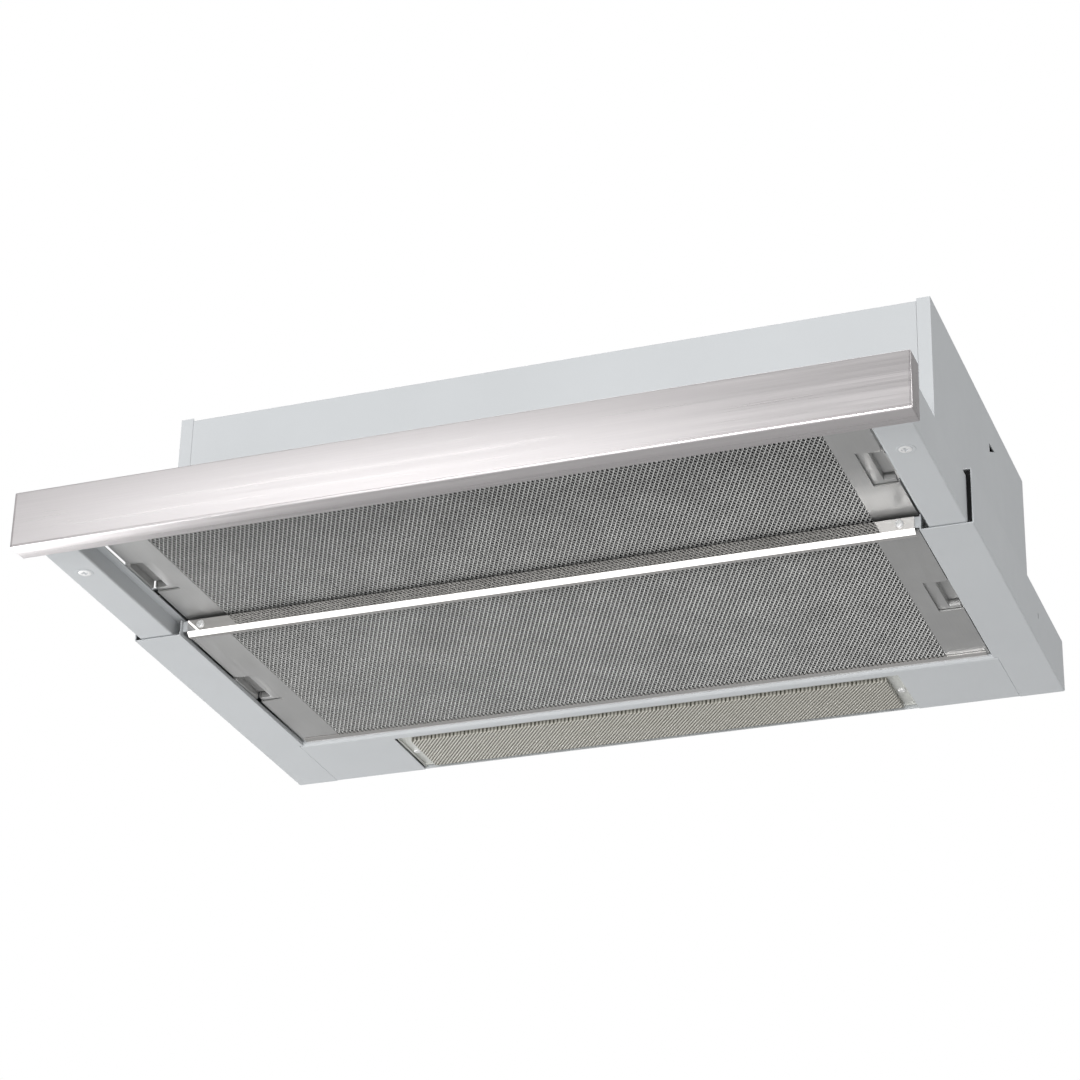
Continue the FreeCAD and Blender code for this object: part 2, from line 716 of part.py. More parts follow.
def make_latch(name, side, latch, finger, z_base):
    """Plate and arms behind the frame's window, a cup for the fingertip and a bolt."""
    x_in = "filter_width / 2 - latch_inset - latch_tuck"
    x_lap = "filter_width / 2 - latch_inset + latch_lap"
    x_end = "filter_width / 2 - filter_skin - latch_play"
    z_plate = f"{z_base} + filter_skin + latch_play"
    z_bolt = f"{z_base} + bolt_lift"
    whole = (f"{latch[0]} - sheet", f"{latch[1]} + sheet")
    room = (f"{finger[0]} + bolt_gap", f"{finger[1]} - bolt_gap")
    z_span = (z_plate, f"{z_plate} + latch_plate")
    plate = [box((x_in, x_lap), whole, z_span, side)]
    for start, end in ((whole[0], finger[0]), (finger[1], whole[1])):
        plate.append(box((f"{x_lap} - sheet", x_end), (start, end), z_span, side))
    wall = "latch_plate"
    for start, end in ((f"{finger[0]} - {wall}", finger[0]), (finger[1], f"{finger[1]} + {wall}")):
        plate.append(box((f"{x_lap} - {wall}", x_end), (start, end), (z_plate, z_bolt), side))
    web = box((f"{x_lap} - {wall}", x_lap), (f"{finger[0]} - {wall}", f"{finger[1]} + {wall}"),
              (z_plate, f"{z_bolt} + bolt_thick"), side)
    bolt = box((f"{x_lap} - {wall}", "filter_width / 2 + latch_reach"), room,
               (z_bolt, f"{z_bolt} + bolt_thick"), side)
    nose = box(("filter_width / 2 + latch_play", "filter_width / 2 + latch_reach"), room,
               (f"{z_base} + latch_play", f"{z_bolt} + bolt_thick"), side)
    node(f"{name}_latch_{side_name(side)}", fuse(*plate, web, bolt, nose))


def make_drawer_side(side):
    """Folded drawer side: outer wall, underside, inner wall and the filter's ledge."""
    outline = flip([
        ("x_drawer", "z_drawer_top"),
        ("x_drawer", "z_drawer"),
        ("x_channel", "z_drawer"),
        ("x_channel", "z_channel_ledge"),
        ("x_ledge", "z_channel_ledge"),
        ("x_ledge", "z_front_filter"),
        ("x_channel + sheet", "z_front_filter"),
        ("x_channel + sheet", "z_drawer + sheet"),
        ("x_drawer - sheet", "z_drawer + sheet"),
        ("x_drawer - sheet", "z_drawer_top"),
    ], side)
    folded = profile("y", outline, "y_fascia_rear", "y_drawer_end", {1: "bend", 2: "bend"})
    x_screw = "(x_drawer + x_channel) / 2"
    hole = rod("z", "screw_shank + hole_gap", "z_drawer - sheet", "z_drawer + 2 * sheet",
               x_screw if side > 0 else f"-{x_screw}", "y_fascia_rear + drawer_screw_back")
    node(f"drawer_side_{side_name(side)}", cut(folded, hole))


def make_drawer():
    """Drawer with its fascia, cross bar and telescopic slides."""
    for side in (1, -1):
        make_drawer_side(side)
        make_slide(side)
    make_fascia()
    make_rear_bar()


def make_fascia():
    """Brushed front bar: a folded skin, open at the back over its steel carrier."""
    y_face = "y_fascia_rear - fascia_depth"
    z_head = "z_fascia + fascia_height"
    outline = [
        ("y_fascia_rear", "z_fascia"),
        (y_face, "z_fascia"),
        (y_face, z_head),
        ("y_fascia_rear", z_head),
        ("y_fascia_rear", f"{z_head} - fascia_skin"),
        (f"{y_face} + fascia_skin", f"{z_head} - fascia_skin"),
        (f"{y_face} + fascia_skin", "z_fascia + fascia_skin"),
        ("y_fascia_rear", "z_fascia + fascia_skin"),
    ]
    skin = profile("x", outline, "-fascia_width / 2", "fascia_width / 2",
                   {1: "fascia_round", 2: "fascia_round"})
    ends = [box(("fascia_width / 2 - fascia_skin", "fascia_width / 2"),
                (f"{y_face} + fascia_skin / 2", "y_fascia_rear"),
                ("z_fascia + fascia_skin / 2", f"{z_head} - fascia_skin / 2"), side) for side in (1, -1)]
    node("fascia", fuse(skin, *ends))

    inner = "fascia_width / 2 - fascia_skin"
    plate = box((f"-({inner})", inner), ("y_fascia_rear - sheet", "y_fascia_rear"),
                ("z_fascia + fascia_skin", f"{z_head} - fascia_skin"))
    brackets = [box(("(x_drawer + x_channel) / 2 - bracket_width / 2",
                     "(x_drawer + x_channel) / 2 + bracket_width / 2"),
                    ("y_fascia_rear - sheet / 2", "y_fascia_rear + bracket_reach"),
                    ("z_drawer + sheet", "z_drawer + 2 * sheet"), side) for side in (1, -1)]
    lip = box(("-x_ledge + seam_gap", "x_ledge - seam_gap"),
              ("y_fascia_rear - sheet / 2", "y_front_filter + filter_edge / 2"),
              ("z_front_filter - seam_gap - sheet", "z_front_filter - seam_gap"))
    x_screw = "(x_drawer + x_channel) / 2"
    places = [x_screw, f"-{x_screw}"]
    y_screw = "y_fascia_rear + drawer_screw_back"
    holes = [rod("z", "screw_shank", "z_drawer", "z_drawer + 3 * sheet", x, y_screw) for x in places]
    node("fascia_carrier", cut(fuse(plate, lip, *brackets), *holes))
    node("drawer_screws", group(*[fuse(
        rod("z", "screw_head", "z_drawer - latch_play", "z_drawer", x, y_screw),
        rod("z", "screw_shank", "z_drawer", "z_drawer + screw_length", x, y_screw),
    ) for x in places]))


def make_rear_bar():
    """Cross bar behind the front filter, with a lip under the filter's rear edge."""
    z_bar = "z_front_filter"
    outline = [
        ("y_bar", f"{z_bar} + rear_bar_height"),
        ("y_bar", z_bar),
        ("y_bar + rear_bar_depth", z_bar),
        ("y_bar + rear_bar_depth", f"{z_bar} + rear_bar_height"),
        ("y_bar + rear_bar_depth - sheet", f"{z_bar} + rear_bar_height"),
        ("y_bar + rear_bar_depth - sheet", f"{z_bar} + sheet"),
        ("y_bar + sheet", f"{z_bar} + sheet"),
        ("y_bar + sheet", f"{z_bar} + rear_bar_height"),
    ]
    channel = profile("x", outline, "-x_channel - sheet", "x_channel + sheet")
    lip = box(("-x_ledge + seam_gap", "x_ledge - seam_gap"),
              ("y_front_filter_end - filter_edge / 2", "y_bar + rear_bar_depth / 2"),
              (f"{z_bar} - seam_gap - sheet", f"{z_bar} - seam_gap"))
    link = box(("-x_ledge + seam_gap", "x_ledge - seam_gap"), ("y_bar", "y_bar + rear_bar_depth / 2"),
               (f"{z_bar} - seam_gap - sheet", f"{z_bar} + sheet / 2"))
    node("drawer_rear_bar", fuse(channel, lip, link))


def make_slide(side):
    """Telescopic slide: hanging bracket, fixed, middle and drawer members."""
    word = side_name(side)
    y_fixed = ("y_front + slide_inset", "y_front + slide_inset + slide_length")
    hanger = flip([
        ("x_box - sheet", "-sheet"),
        ("x_slide", "-sheet"),
        ("x_slide", "z_slide - slide_height / 2"),
        ("x_slide - sheet", "z_slide - slide_height / 2"),
        ("x_slide - sheet", "-2 * sheet"),
        ("x_box - sheet", "-2 * sheet"),
    ], side)
    node(f"slide_bracket_{word}", profile("y", hanger, *y_fixed))

    reach = "slide_height / 2"
    web = ("x_slide", "x_slide + slide_web")
    lip = ("x_slide", "x_slide + 5 * slide_web")
    fixed = [box(web, y_fixed, (f"z_slide - {reach}", f"z_slide + {reach}"), side)]
    fixed += [box(lip, y_fixed, span, side) for span in (
        (f"z_slide + {reach} - slide_web", f"z_slide + {reach}"),
        (f"z_slide - {reach}", f"z_slide - {reach} + slide_web"))]
    node(f"slide_fixed_{word}", fuse(*fixed))

    reach = "slide_height / 2 - slide_web - slide_play"
    y_start = "y_front + slide_inset - travel / 2 + (slide_length - slide_middle_length) / 2"
    y_middle = (y_start, f"{y_start} + slide_middle_length")
    flange = ("x_slide + 2 * slide_web + slide_play / 2", "x_slide + slide_room - 2 * slide_web - slide_play / 2")
    stem = ("x_slide + slide_room / 2 - slide_web / 2", "x_slide + slide_room / 2 + slide_web / 2")
    middle = [box(stem, y_middle, (f"z_slide - ({reach})", f"z_slide + {reach}"), side)]
    middle += [box(flange, y_middle, span, side) for span in (
        (f"z_slide + {reach} - slide_web", f"z_slide + {reach}"),
        (f"z_slide - ({reach})", f"z_slide - ({reach}) + slide_web"))]
    node(f"slide_middle_{word}", fuse(*middle))

    reach = "slide_height / 2 - 2 * slide_web - 2 * slide_play"
    y_inner = ("y_front + slide_inset - travel", "y_front + slide_inset - travel + slide_length")
    web = ("x_slide + slide_room - slide_web", "x_slide + slide_room")
    lip = ("x_slide + slide_room - slide_lip", "x_slide + slide_room")
    inner = [box(web, y_inner, (f"z_slide - ({reach})", f"z_slide + {reach}"), side)]
    inner += [box(lip, y_inner, span, side) for span in (
        (f"z_slide + {reach} - slide_web", f"z_slide + {reach}"),
        (f"z_slide - ({reach})", f"z_slide - ({reach}) + slide_web"))]
    node(f"slide_drawer_{word}", fuse(*inner))


def quarter(x, radius, turn, y, z):
    """A quarter cylinder along X; turn 0 lies between straight down and the rear."""
    item = doc.addObject("Part::Cylinder", "quarter")
    item.Angle = 90
    spin = FreeCAD.Rotation(FreeCAD.Vector(0, 0, 1), turn)
    item.Placement.Rotation = AXIS_TURN["x"].multiply(spin)
    bind(item, Radius=radius, Height=f"({x[1]}) - ({x[0]})", Placement__Base__x=x[0],
         Placement__Base__y=y, Placement__Base__z=z)
    return item


def scroll_block(x, wall):
    """The scroll's outline between two planes, grown outwards by a wall."""
    return fuse(
        quarter(x, f"scroll_start + {wall}", 180, "y_impeller", "z_impeller"),
        quarter(x, f"scroll_start + scroll_step + {wall}", -90, "y_impeller + scroll_step", "z_impeller"),
        quarter(x, f"scroll_end + {wall}", 0, "y_impeller + scroll_step", "z_impeller + scroll_step"),
        box(x, (f"y_impeller - {wall}", f"-y_impeller + {wall}"), ("z_impeller", "z_roof - sheet")),
    )


def make_blower():
    """Scroll housing, impeller on its shaft, motor and motor mount."""
    centre = ("y_impeller", "z_impeller")
    inside = ("-x_scroll", "x_scroll")
    z_lid = "z_roof - sheet"
    band = cut(scroll_block(inside, "scroll_wall"), scroll_block(inside, "0"))
    collar = box(("-collar_reach", "collar_reach"), ("-collar_reach", "collar_reach"),
                 (f"{z_lid} - scroll_wall", z_lid))
    outlet = box(("-x_scroll - scroll_wall", "x_scroll + scroll_wall"),
                 ("y_impeller - scroll_wall", "-y_impeller + scroll_wall"),
                 (f"{z_lid} - 2 * scroll_wall", "z_roof"))
    screws = [rod("z", "screw_shank", f"{z_lid} - 2 * scroll_wall", "z_roof",
                  f"{x_sign}{SPIGOT_SCREW}", f"{y_sign}{SPIGOT_SCREW}") for x_sign, y_sign in SPIGOT_CORNERS]
    node("scroll_wrapper", fuse(band, cut(collar, outlet, *screws)))

    inlet = fuse(
        scroll_block(("-x_scroll - scroll_wall", "-x_scroll"), "scroll_wall"),
        rod("x", "inlet_radius + scroll_wall", "-x_scroll - 4 * scroll_wall", "-x_scroll - scroll_wall",
            *centre),
    )
    node("scroll_inlet_side", cut(inlet, rod(
        "x", "inlet_radius", "-x_scroll - 5 * scroll_wall", "-x_scroll + scroll_wall", *centre)))
    node("scroll_motor_side", cut(
        scroll_block(("x_scroll", "x_scroll + scroll_wall"), "scroll_wall"),
        rod("x", "hub_radius", "x_scroll - scroll_wall", "x_scroll + 2 * scroll_wall", *centre)))

    node("impeller", make_impeller())
    shaft_start = "impeller_width / 2 - hub_length - scroll_wall"
    node("motor_shaft", rod("x", "shaft_radius", shaft_start, "x_motor + motor_length + 2 * scroll_wall",
                            *centre))
    node("motor_mount", cut(
        rod("x", "motor_mount_radius", "x_scroll + scroll_wall", "x_motor", *centre),
        rod("x", "hub_radius", "x_scroll", "x_motor + scroll_wall", *centre)))
    node("motor_case", cut(
        fuse(rod("x", "motor_radius", "x_motor", "x_motor + motor_body", *centre),
             rod("x", "motor_end_radius", "x_motor", "x_motor + motor_length", *centre)),
        rod("x", "shaft_radius + shaft_play", "x_motor - scroll_wall", "x_motor + motor_length + scroll_wall",
            *centre)))


BLADE_COUNT = 30
BLADE_TURN = 35.0


def make_impeller():
    """Forward-curved wheel: back disc with hub, blades and front ring."""
    centre = ("y_impeller", "z_impeller")
    x_disc = "impeller_width / 2"
    disc = fuse(
        rod("x", "impeller_radius", f"{x_disc} - impeller_disc", x_disc, *centre),
        rod("x", "hub_radius", f"{x_disc} - hub_length", x_disc, *centre),
    )
    ring = cut(
        rod("x", "impeller_radius", f"-{x_disc}", f"-{x_disc} + impeller_disc", *centre),
        rod("x", "impeller_radius - blade_depth", f"-{x_disc} - 1", f"-{x_disc} + 2 * impeller_disc", *centre),
    )
    blades = [make_blade(360 / BLADE_COUNT * index) for index in range(BLADE_COUNT)]
    bore = rod("x", "shaft_radius", f"{x_disc} - 2 * hub_length", f"{x_disc} + hub_length", *centre)
    return cut(fuse(disc, ring, *blades), bore)


def make_blade(angle):
    """One blade, turned against the radius it stands on."""
    item = doc.addObject("Part::Box", "blade")
    item.Placement.Rotation = FreeCAD.Rotation(FreeCAD.Vector(1, 0, 0), angle + BLADE_TURN)
    out_y = round(math.cos(math.radians(angle)), 6)
    out_z = round(math.sin(math.radians(angle)), 6)
    way_y = round(math.cos(math.radians(angle + BLADE_TURN)), 6)
    way_z = round(math.sin(math.radians(angle + BLADE_TURN)), 6)
    middle = "(impeller_radius - blade_depth / 2 - blade_thick)"
    bind(item, Length="impeller_width - impeller_disc", Width="blade_depth", Height="blade_thick",
         Placement__Base__x="-impeller_width / 2 + impeller_disc / 2",
         Placement__Base__y=f"y_impeller + {middle} * {out_y} - blade_depth / 2 * {way_y}",
         Placement__Base__z=f"z_impeller + {middle} * {out_z} - blade_depth / 2 * {way_z}")
    return item


def make_outlet():
    """Duct spigot with its screws, and two backdraft flaps on one pin."""
    z_seat = "z_roof + flap_seat"
    z_end = "z_roof + spigot_height"
    z_foot = "z_roof + spigot_flange_thick"
    collar = rod("z", "spigot_radius", z_foot, z_end, "0", "0")
    passages = [
        rod("z", "spigot_bore - 2 * spigot_wall", "z_roof", f"{z_end} + sheet", "0", "0"),
        rod("z", "spigot_bore", z_seat, f"{z_end} + sheet", "0", "0"),
        rod("z", "spigot_bore", "z_roof", f"{z_seat} - spigot_wall", "0", "0"),
        rod("x", "pin_radius", "-spigot_radius - sheet", "spigot_radius + sheet", "0", "z_pin"),
    ]
    node("duct_spigot", cut(collar, *passages))
    flange = rod("z", "spigot_flange", "z_roof", z_foot, "0", "0")
    holes = [rod("z", "spigot_bore", "z_roof - sheet", f"{z_foot} + sheet", "0", "0")]
    screws = []
    for x_sign, y_sign in SPIGOT_CORNERS:
        x_screw = f"{x_sign}{SPIGOT_SCREW}"
        y_screw = f"{y_sign}{SPIGOT_SCREW}"
        holes.append(rod("z", "screw_shank", "z_roof - sheet", f"{z_foot} + sheet", x_screw, y_screw))
        screws.append(fuse(
            rod("z", "screw_head", z_foot, f"{z_foot} + screw_head_thick", x_screw, y_screw),
            rod("z", "screw_shank", f"{z_foot} - screw_length", z_foot, x_screw, y_screw)))
    node("spigot_flange", cut(flange, *holes))
    node("spigot_screws", group(*screws))
    node("flap_pin", rod("x", "pin_radius", "-spigot_radius", "spigot_radius", "0", "z_pin"))
    make_flap("flap_rear", "y_rear", 1)
    make_flap("flap_front", "y_front", -1)


def make_flap(name, limit, sign):
    """Half-round flap with two hinge knuckles that alternate with the other flap's."""
    z_plate = "z_roof + flap_seat + latch_play"
    disc = rod("z", "flap_radius", z_plate, f"{z_plate} + flap_thick", "0", "0")
    edge = "knuckle_radius + latch_play"
    far = ("-y_rear", f"{edge}") if sign > 0 else (f"-({edge})", "y_rear")
    plate = cut(disc, box(("-x_box", "x_box"), far, (f"{z_plate} - 1", f"{z_plate} + 2 * flap_thick")))
    pieces = [plate]
    bores = []
    for slot in ((-2, 0) if sign > 0 else (-1, 1)):
        low = f"knuckle_length * {slot} + latch_play"
        high = f"knuckle_length * {slot + 1} - latch_play"
        pieces.append(rod("x", "knuckle_radius", low, high, "0", "z_pin"))
        reach = ("0", f"{edge} + flap_thick") if sign > 0 else (f"-({edge}) - flap_thick", "0")
        pieces.append(box((low, high), reach, (z_plate, f"{z_plate} + flap_thick")))
        bores.append(rod("x", "pin_radius + shaft_play", f"{low} - 1", f"{high} + 1", "0", "z_pin"))
    node(name, cut(fuse(*pieces), *bores))


def make_controls():
    """Control housing on the drawer, with sliding knobs for the fan and the lamp."""
    y_span = ("y_fascia_rear", "y_fascia_rear + control_depth")
    x_span = ("control_centre - control_length / 2", "control_centre + control_length / 2")
    z_low = "z_control - control_height"
    housing = box(x_span, y_span, (z_low, "z_control"))
    hollow = box((f"{x_span[0]} + filter_skin", f"{x_span[1]} - filter_skin"),
                 (f"{y_span[0]} + filter_skin", f"{y_span[1]} - filter_skin"),
                 (f"{z_low} - sheet", "z_control - filter_skin"))
    y_mid = "y_fascia_rear + control_depth / 2"
    knobs = {
        "fan_speed_knob": ("control_centre - control_length / 4", "fan_travel"),
        "lamp_knob": ("control_centre + control_length / 4", "lamp_travel"),
    }
    slots = []
    for name, (x_mid, reach) in knobs.items():
        x_low = f"{x_mid} - {reach} / 2 - knob_width / 2"
        stem = f"{x_low} + knob_width / 4"
        slots.append(box((f"{stem} - latch_play", f"{stem} + knob_width / 2 + {reach} + latch_play"),
                         (f"{y_mid} - knob_width / 4", f"{y_mid} + knob_width / 4"),
                         ("z_control - 2 * filter_skin", "z_control + sheet")))
        cap = box((x_low, f"{x_low} + knob_width"), (f"{y_mid} - knob_width / 2", f"{y_mid} + knob_width / 2"),
                  ("z_control + latch_play", "z_control + knob_rise"))
        neck = box((stem, f"{stem} + knob_width / 2"),
                   (f"{y_mid} - knob_width / 4 + latch_play", f"{y_mid} + knob_width / 4 - latch_play"),
                   ("z_control - 3 * filter_skin", "z_control + 2 * latch_play"))
        node(name, fuse(cap, neck))
    node("control_housing", cut(housing, hollow, *slots))


def make_electrics():
    """Drawer microswitch, lamp driver, terminal box and the cable's gland."""
    x_span = ("switch_centre - switch_width / 2", "switch_centre + switch_width / 2")
    z_span = ("z_front_filter + sheet", "z_front_filter + sheet + switch_height")
    z_mid = f"{z_span[0]} + switch_height / 2"
    body = box(x_span, ("y_switch", "y_bay"), z_span)
    bore = box(("switch_centre - 2 * sheet - latch_play", "switch_centre + 2 * sheet + latch_play"),
               ("y_switch - sheet", "y_switch + 3 * plunger_travel"),
               (f"{z_mid} - 2 * sheet - latch_play", f"{z_mid} + 2 * sheet + latch_play"))
    node("microswitch", cut(body, bore))
    node("microswitch_plunger", box(
        ("switch_centre - 2 * sheet", "switch_centre + 2 * sheet"),
        ("y_switch - plunger_travel", "y_switch + plunger_travel"),
        (f"{z_mid} - 2 * sheet", f"{z_mid} + 2 * sheet")))

    z_ceiling = "z_roof - sheet"
    node("lamp_driver", box(("driver_x - driver_length / 2", "driver_x + driver_length / 2"),
                            ("driver_y - driver_width / 2", "driver_y + driver_width / 2"),
                            (f"{z_ceiling} - driver_height", z_ceiling)))
    x_span = ("terminal_x - terminal_width / 2", "terminal_x + terminal_width / 2")
    y_span = ("terminal_y - terminal_depth / 2", "terminal_y + terminal_depth / 2")
    case = box(x_span, y_span, (f"{z_ceiling} - terminal_height", z_ceiling))
    room = box((f"{x_span[0]} + filter_skin", f"{x_span[1]} - filter_skin"),
               (f"{y_span[0]} + filter_skin", f"{y_span[1]} - filter_skin"),
               (f"{z_ceiling} - terminal_height + filter_skin", f"{z_ceiling} + sheet"))
    node("terminal_box", cut(case, room))
    z_rim = "z_roof + gland_length / 4"
    centre = ("terminal_x", "terminal_y")
    node("cable_gland", cut(
        fuse(rod("z", "gland_radius", f"{z_rim} - gland_length", z_rim, *centre),
             rod("z", "gland_radius * gland_flare", "z_roof", z_rim, *centre)),
        rod("z", "gland_bore", f"{z_rim} - gland_length - sheet", f"{z_rim} + sheet", *centre)))


def check(item):
    """Stop if an object failed, or a finished piece isn't valid."""
    if any(word in ("Invalid", "Error") for word in item.State):
        raise RuntimeError(f"{item.Label} failed: {item.State}")


def write_parts():
    """Check the whole document, then write one file for each node."""
    os.makedirs("parts", exist_ok=True)
    for item in doc.Objects:
        check(item)
    for item in nodes:
        if item.Shape.isNull() or not item.Shape.isValid() or not item.Shape.Solids:
            raise RuntimeError(f"{item.Label} has no valid shape")
    for item in nodes:
        item.Shape.exportStep(f"parts/{item.Label}.step")
        print(f"{item.Label}: {len(item.Shape.Solids)} solids, {item.Shape.Volume:.0f} mm3")
    print(f"{len(nodes)} nodes")


sheet = make_sheet()
make_housing()
make_lamp_bay()
make_lamp()
make_rails()
make_filters()
make_drawer()
make_blower()
make_outlet()
make_controls()
make_electrics()
doc.recompute()
write_parts()
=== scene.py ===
import json
import logging
import math
from dataclasses import dataclass, field
from enum import Enum
from typing import Callable, Dict, List, Sequence, Tuple

import bmesh
import bpy
from mathutils import Matrix, Vector

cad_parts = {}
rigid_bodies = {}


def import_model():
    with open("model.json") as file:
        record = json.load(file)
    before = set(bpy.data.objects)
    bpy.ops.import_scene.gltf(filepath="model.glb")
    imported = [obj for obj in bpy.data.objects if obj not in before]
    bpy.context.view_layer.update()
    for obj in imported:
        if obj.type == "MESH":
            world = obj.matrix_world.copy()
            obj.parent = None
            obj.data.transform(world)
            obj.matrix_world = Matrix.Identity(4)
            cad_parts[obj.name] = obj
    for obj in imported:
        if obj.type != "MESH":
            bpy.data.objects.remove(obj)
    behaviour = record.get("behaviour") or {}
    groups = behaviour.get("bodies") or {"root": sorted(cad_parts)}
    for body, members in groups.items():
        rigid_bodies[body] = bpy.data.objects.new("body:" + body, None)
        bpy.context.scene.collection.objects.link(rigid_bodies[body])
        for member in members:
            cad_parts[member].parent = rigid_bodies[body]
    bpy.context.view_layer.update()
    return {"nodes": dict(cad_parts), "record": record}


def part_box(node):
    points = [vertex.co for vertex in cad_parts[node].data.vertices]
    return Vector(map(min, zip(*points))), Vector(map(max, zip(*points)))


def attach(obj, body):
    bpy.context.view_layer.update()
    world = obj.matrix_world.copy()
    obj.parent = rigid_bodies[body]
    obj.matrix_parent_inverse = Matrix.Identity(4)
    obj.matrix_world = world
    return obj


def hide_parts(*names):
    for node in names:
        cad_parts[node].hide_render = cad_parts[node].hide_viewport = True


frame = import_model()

LOG = logging.getLogger("range_hood")
MM = 0.001
Colour = Tuple[float, float, float]
Piece = bpy.types.Object
Socket = bpy.types.NodeSocket
Test = Callable[[Vector, Vector], bool]


class Axis(Enum):
    """Direction that a rod or a row follows."""

    X = 0
    Y = 1
    Z = 2


class Side(Enum):
    """Side of the hood, with the sign of its X."""

    LEFT = -1
    RIGHT = 1


class Facing(Enum):
    """Way a layer or a screw head faces, with the sign of its Z."""

    DOWN = -1
    UP = 1


STEEP = 0.9


def faces_up(centre: Vector, normal: Vector) -> bool:
    """Tell whether a face looks up."""
    return normal.z > STEEP


def faces_down(centre: Vector, normal: Vector) -> bool:
    """Tell whether a face looks down."""
    return normal.z < -STEEP


def any_face(centre: Vector, normal: Vector) -> bool:
    """Accept every face."""
    return True


class Bench:
    """Modelling steps that the pieces share."""

    @staticmethod
    def only(piece: Piece) -> None:
        """Select one piece and make it active.

        Args:
            piece: The piece.
        """
        bpy.ops.object.select_all(action="DESELECT")
        piece.select_set(True)
        bpy.context.view_layer.objects.active = piece

    @staticmethod
    def settle(name: str) -> Piece:
        """Name the active primitive and bake its place into its mesh.

        Args:
            name: The piece's name.

        Returns:
            The piece, with its object at the origin.
        """
        piece = bpy.context.object
        piece.name = name
        piece.data.name = name
        Bench.only(piece)
        bpy.ops.object.transform_apply(location=True, rotation=True, scale=True)
        return piece

    @staticmethod
    def block(name: str, low: Sequence[float], high: Sequence[float]) -> Piece:
        """Add a block between two corners.

        Args:
            name: The piece's name.
            low: Lowest corner, in metres.
            high: Highest corner, in metres.

        Returns:
            The block.
        """
        low, high = Vector(low), Vector(high)
        bpy.ops.object.select_all(action="DESELECT")
        bpy.ops.mesh.primitive_cube_add(size=1, location=(low + high) / 2, scale=high - low)
        return Bench.settle(name)

    @staticmethod
    def rod(name: str, radius: float, start: Sequence[float], length: float, axis: Axis,
            sides: int = 48) -> Piece:
        """Add a cylinder.

        Args:
            name: The piece's name.
            radius: Its radius, in metres.
            start: Centre of its first end.
            length: Its length along the axis.
            axis: The axis that it follows.
            sides: How many sides it has.

        Returns:
            The cylinder.
        """
        centre = Vector(start)
        centre[axis.value] += length / 2
        turn = {Axis.X: (0, math.pi / 2, 0), Axis.Y: (math.pi / 2, 0, 0), Axis.Z: (0, 0, 0)}[axis]
        bpy.ops.object.select_all(action="DESELECT")
        bpy.ops.mesh.primitive_cylinder_add(vertices=sides, radius=radius, depth=abs(length),
                                            location=centre, rotation=turn)
        return Bench.settle(name)

    @staticmethod
    def edit(piece: Piece, test: Test) -> None:
        """Open a piece in edit mode with the faces selected that pass a test.

        Args:
            piece: The piece.
            test: Takes a face's centre and normal.
        """
        Bench.only(piece)
        bpy.ops.object.mode_set(mode="EDIT")
        bpy.ops.mesh.select_mode(type="FACE")
        mesh = bmesh.from_edit_mesh(piece.data)
        for face in mesh.faces:
            face.select_set(test(face.calc_center_median(), face.normal))
        mesh.select_flush_mode()
        bmesh.update_edit_mesh(piece.data)

    @staticmethod
    def leave() -> None:
        """Return to object mode."""
        bpy.ops.object.mode_set(mode="OBJECT")

    @staticmethod
    def dish(piece: Piece, test: Test, rim: float, move: float) -> None:
        """Inset the faces that pass a test, and move them along Z.

        Args:
            piece: The piece.
            test: Takes a face's centre and normal.
            rim: Width that is left round them.
            move: How far they move.
        """
        Bench.edit(piece, test)
        bpy.ops.mesh.inset(thickness=rim, depth=0)
        bpy.ops.transform.translate(value=(0, 0, move))
        Bench.leave()

    @staticmethod
    def apply(piece: Piece, kind: str, **settings: object) -> None:
        """Add a modifier to a piece and apply it.

        Args:
            piece: The piece.
            kind: The modifier's type.
            settings: Its settings.
        """
        Bench.only(piece)
        modifier = piece.modifiers.new(kind.title(), kind)
        for name, value in settings.items():
            setattr(modifier, name, value)
        bpy.ops.object.modifier_apply(modifier=modifier.name)

    @staticmethod
    def bevel(piece: Piece, width: float, segments: int = 2, angle: float = 40.0) -> None:
        """Round the sharp edges of a piece.

        Args:
            piece: The piece.
            width: Width of the rounding, in metres.
            segments: Steps across it.
            angle: Sharpest angle left alone, in degrees.
        """
        Bench.apply(piece, "BEVEL", width=width, segments=segments, limit_method="ANGLE",
                    angle_limit=math.radians(angle))

    @staticmethod
    def carve(piece: Piece, *cutters: Piece) -> None:
        """Cut pieces out of another, and remove them.

        Args:
            piece: The piece that is cut.
            cutters: What is cut out of it.
        """
        for cutter in cutters:
            Bench.apply(piece, "BOOLEAN", operation="DIFFERENCE", solver="EXACT", object=cutter)
            bpy.data.objects.remove(cutter, do_unlink=True)

    @staticmethod
    def row(piece: Piece, count: int, axis: Axis, pitch: float, merge: bool = False) -> None:
        """Repeat a piece along an axis.

        Args:
            piece: The piece.
            count: How many there are in the end.
            axis: The axis that they follow.
            pitch: Distance from one to the next.
            merge: Whether the ends that meet are joined.
        """
        step = [0.0, 0.0, 0.0]
        step[axis.value] = pitch
        Bench.apply(piece, "ARRAY", count=count, use_relative_offset=False, use_constant_offset=True,
                    constant_offset_displace=step, use_merge_vertices=merge,
                    merge_threshold=abs(pitch) / 1000)

    @staticmethod
    def join(name: str, pieces: Sequence[Piece]) -> Piece:
        """Join pieces into one.

        Args:
            name: The joined piece's name.
            pieces: The pieces, of which the first stays.

        Returns:
            The joined piece.
        """
        Bench.only(pieces[0])
        for piece in pieces:
            piece.select_set(True)
        if len(pieces) > 1:
            bpy.ops.object.join()
        pieces[0].name = name
        pieces[0].data.name = name
        return pieces[0]

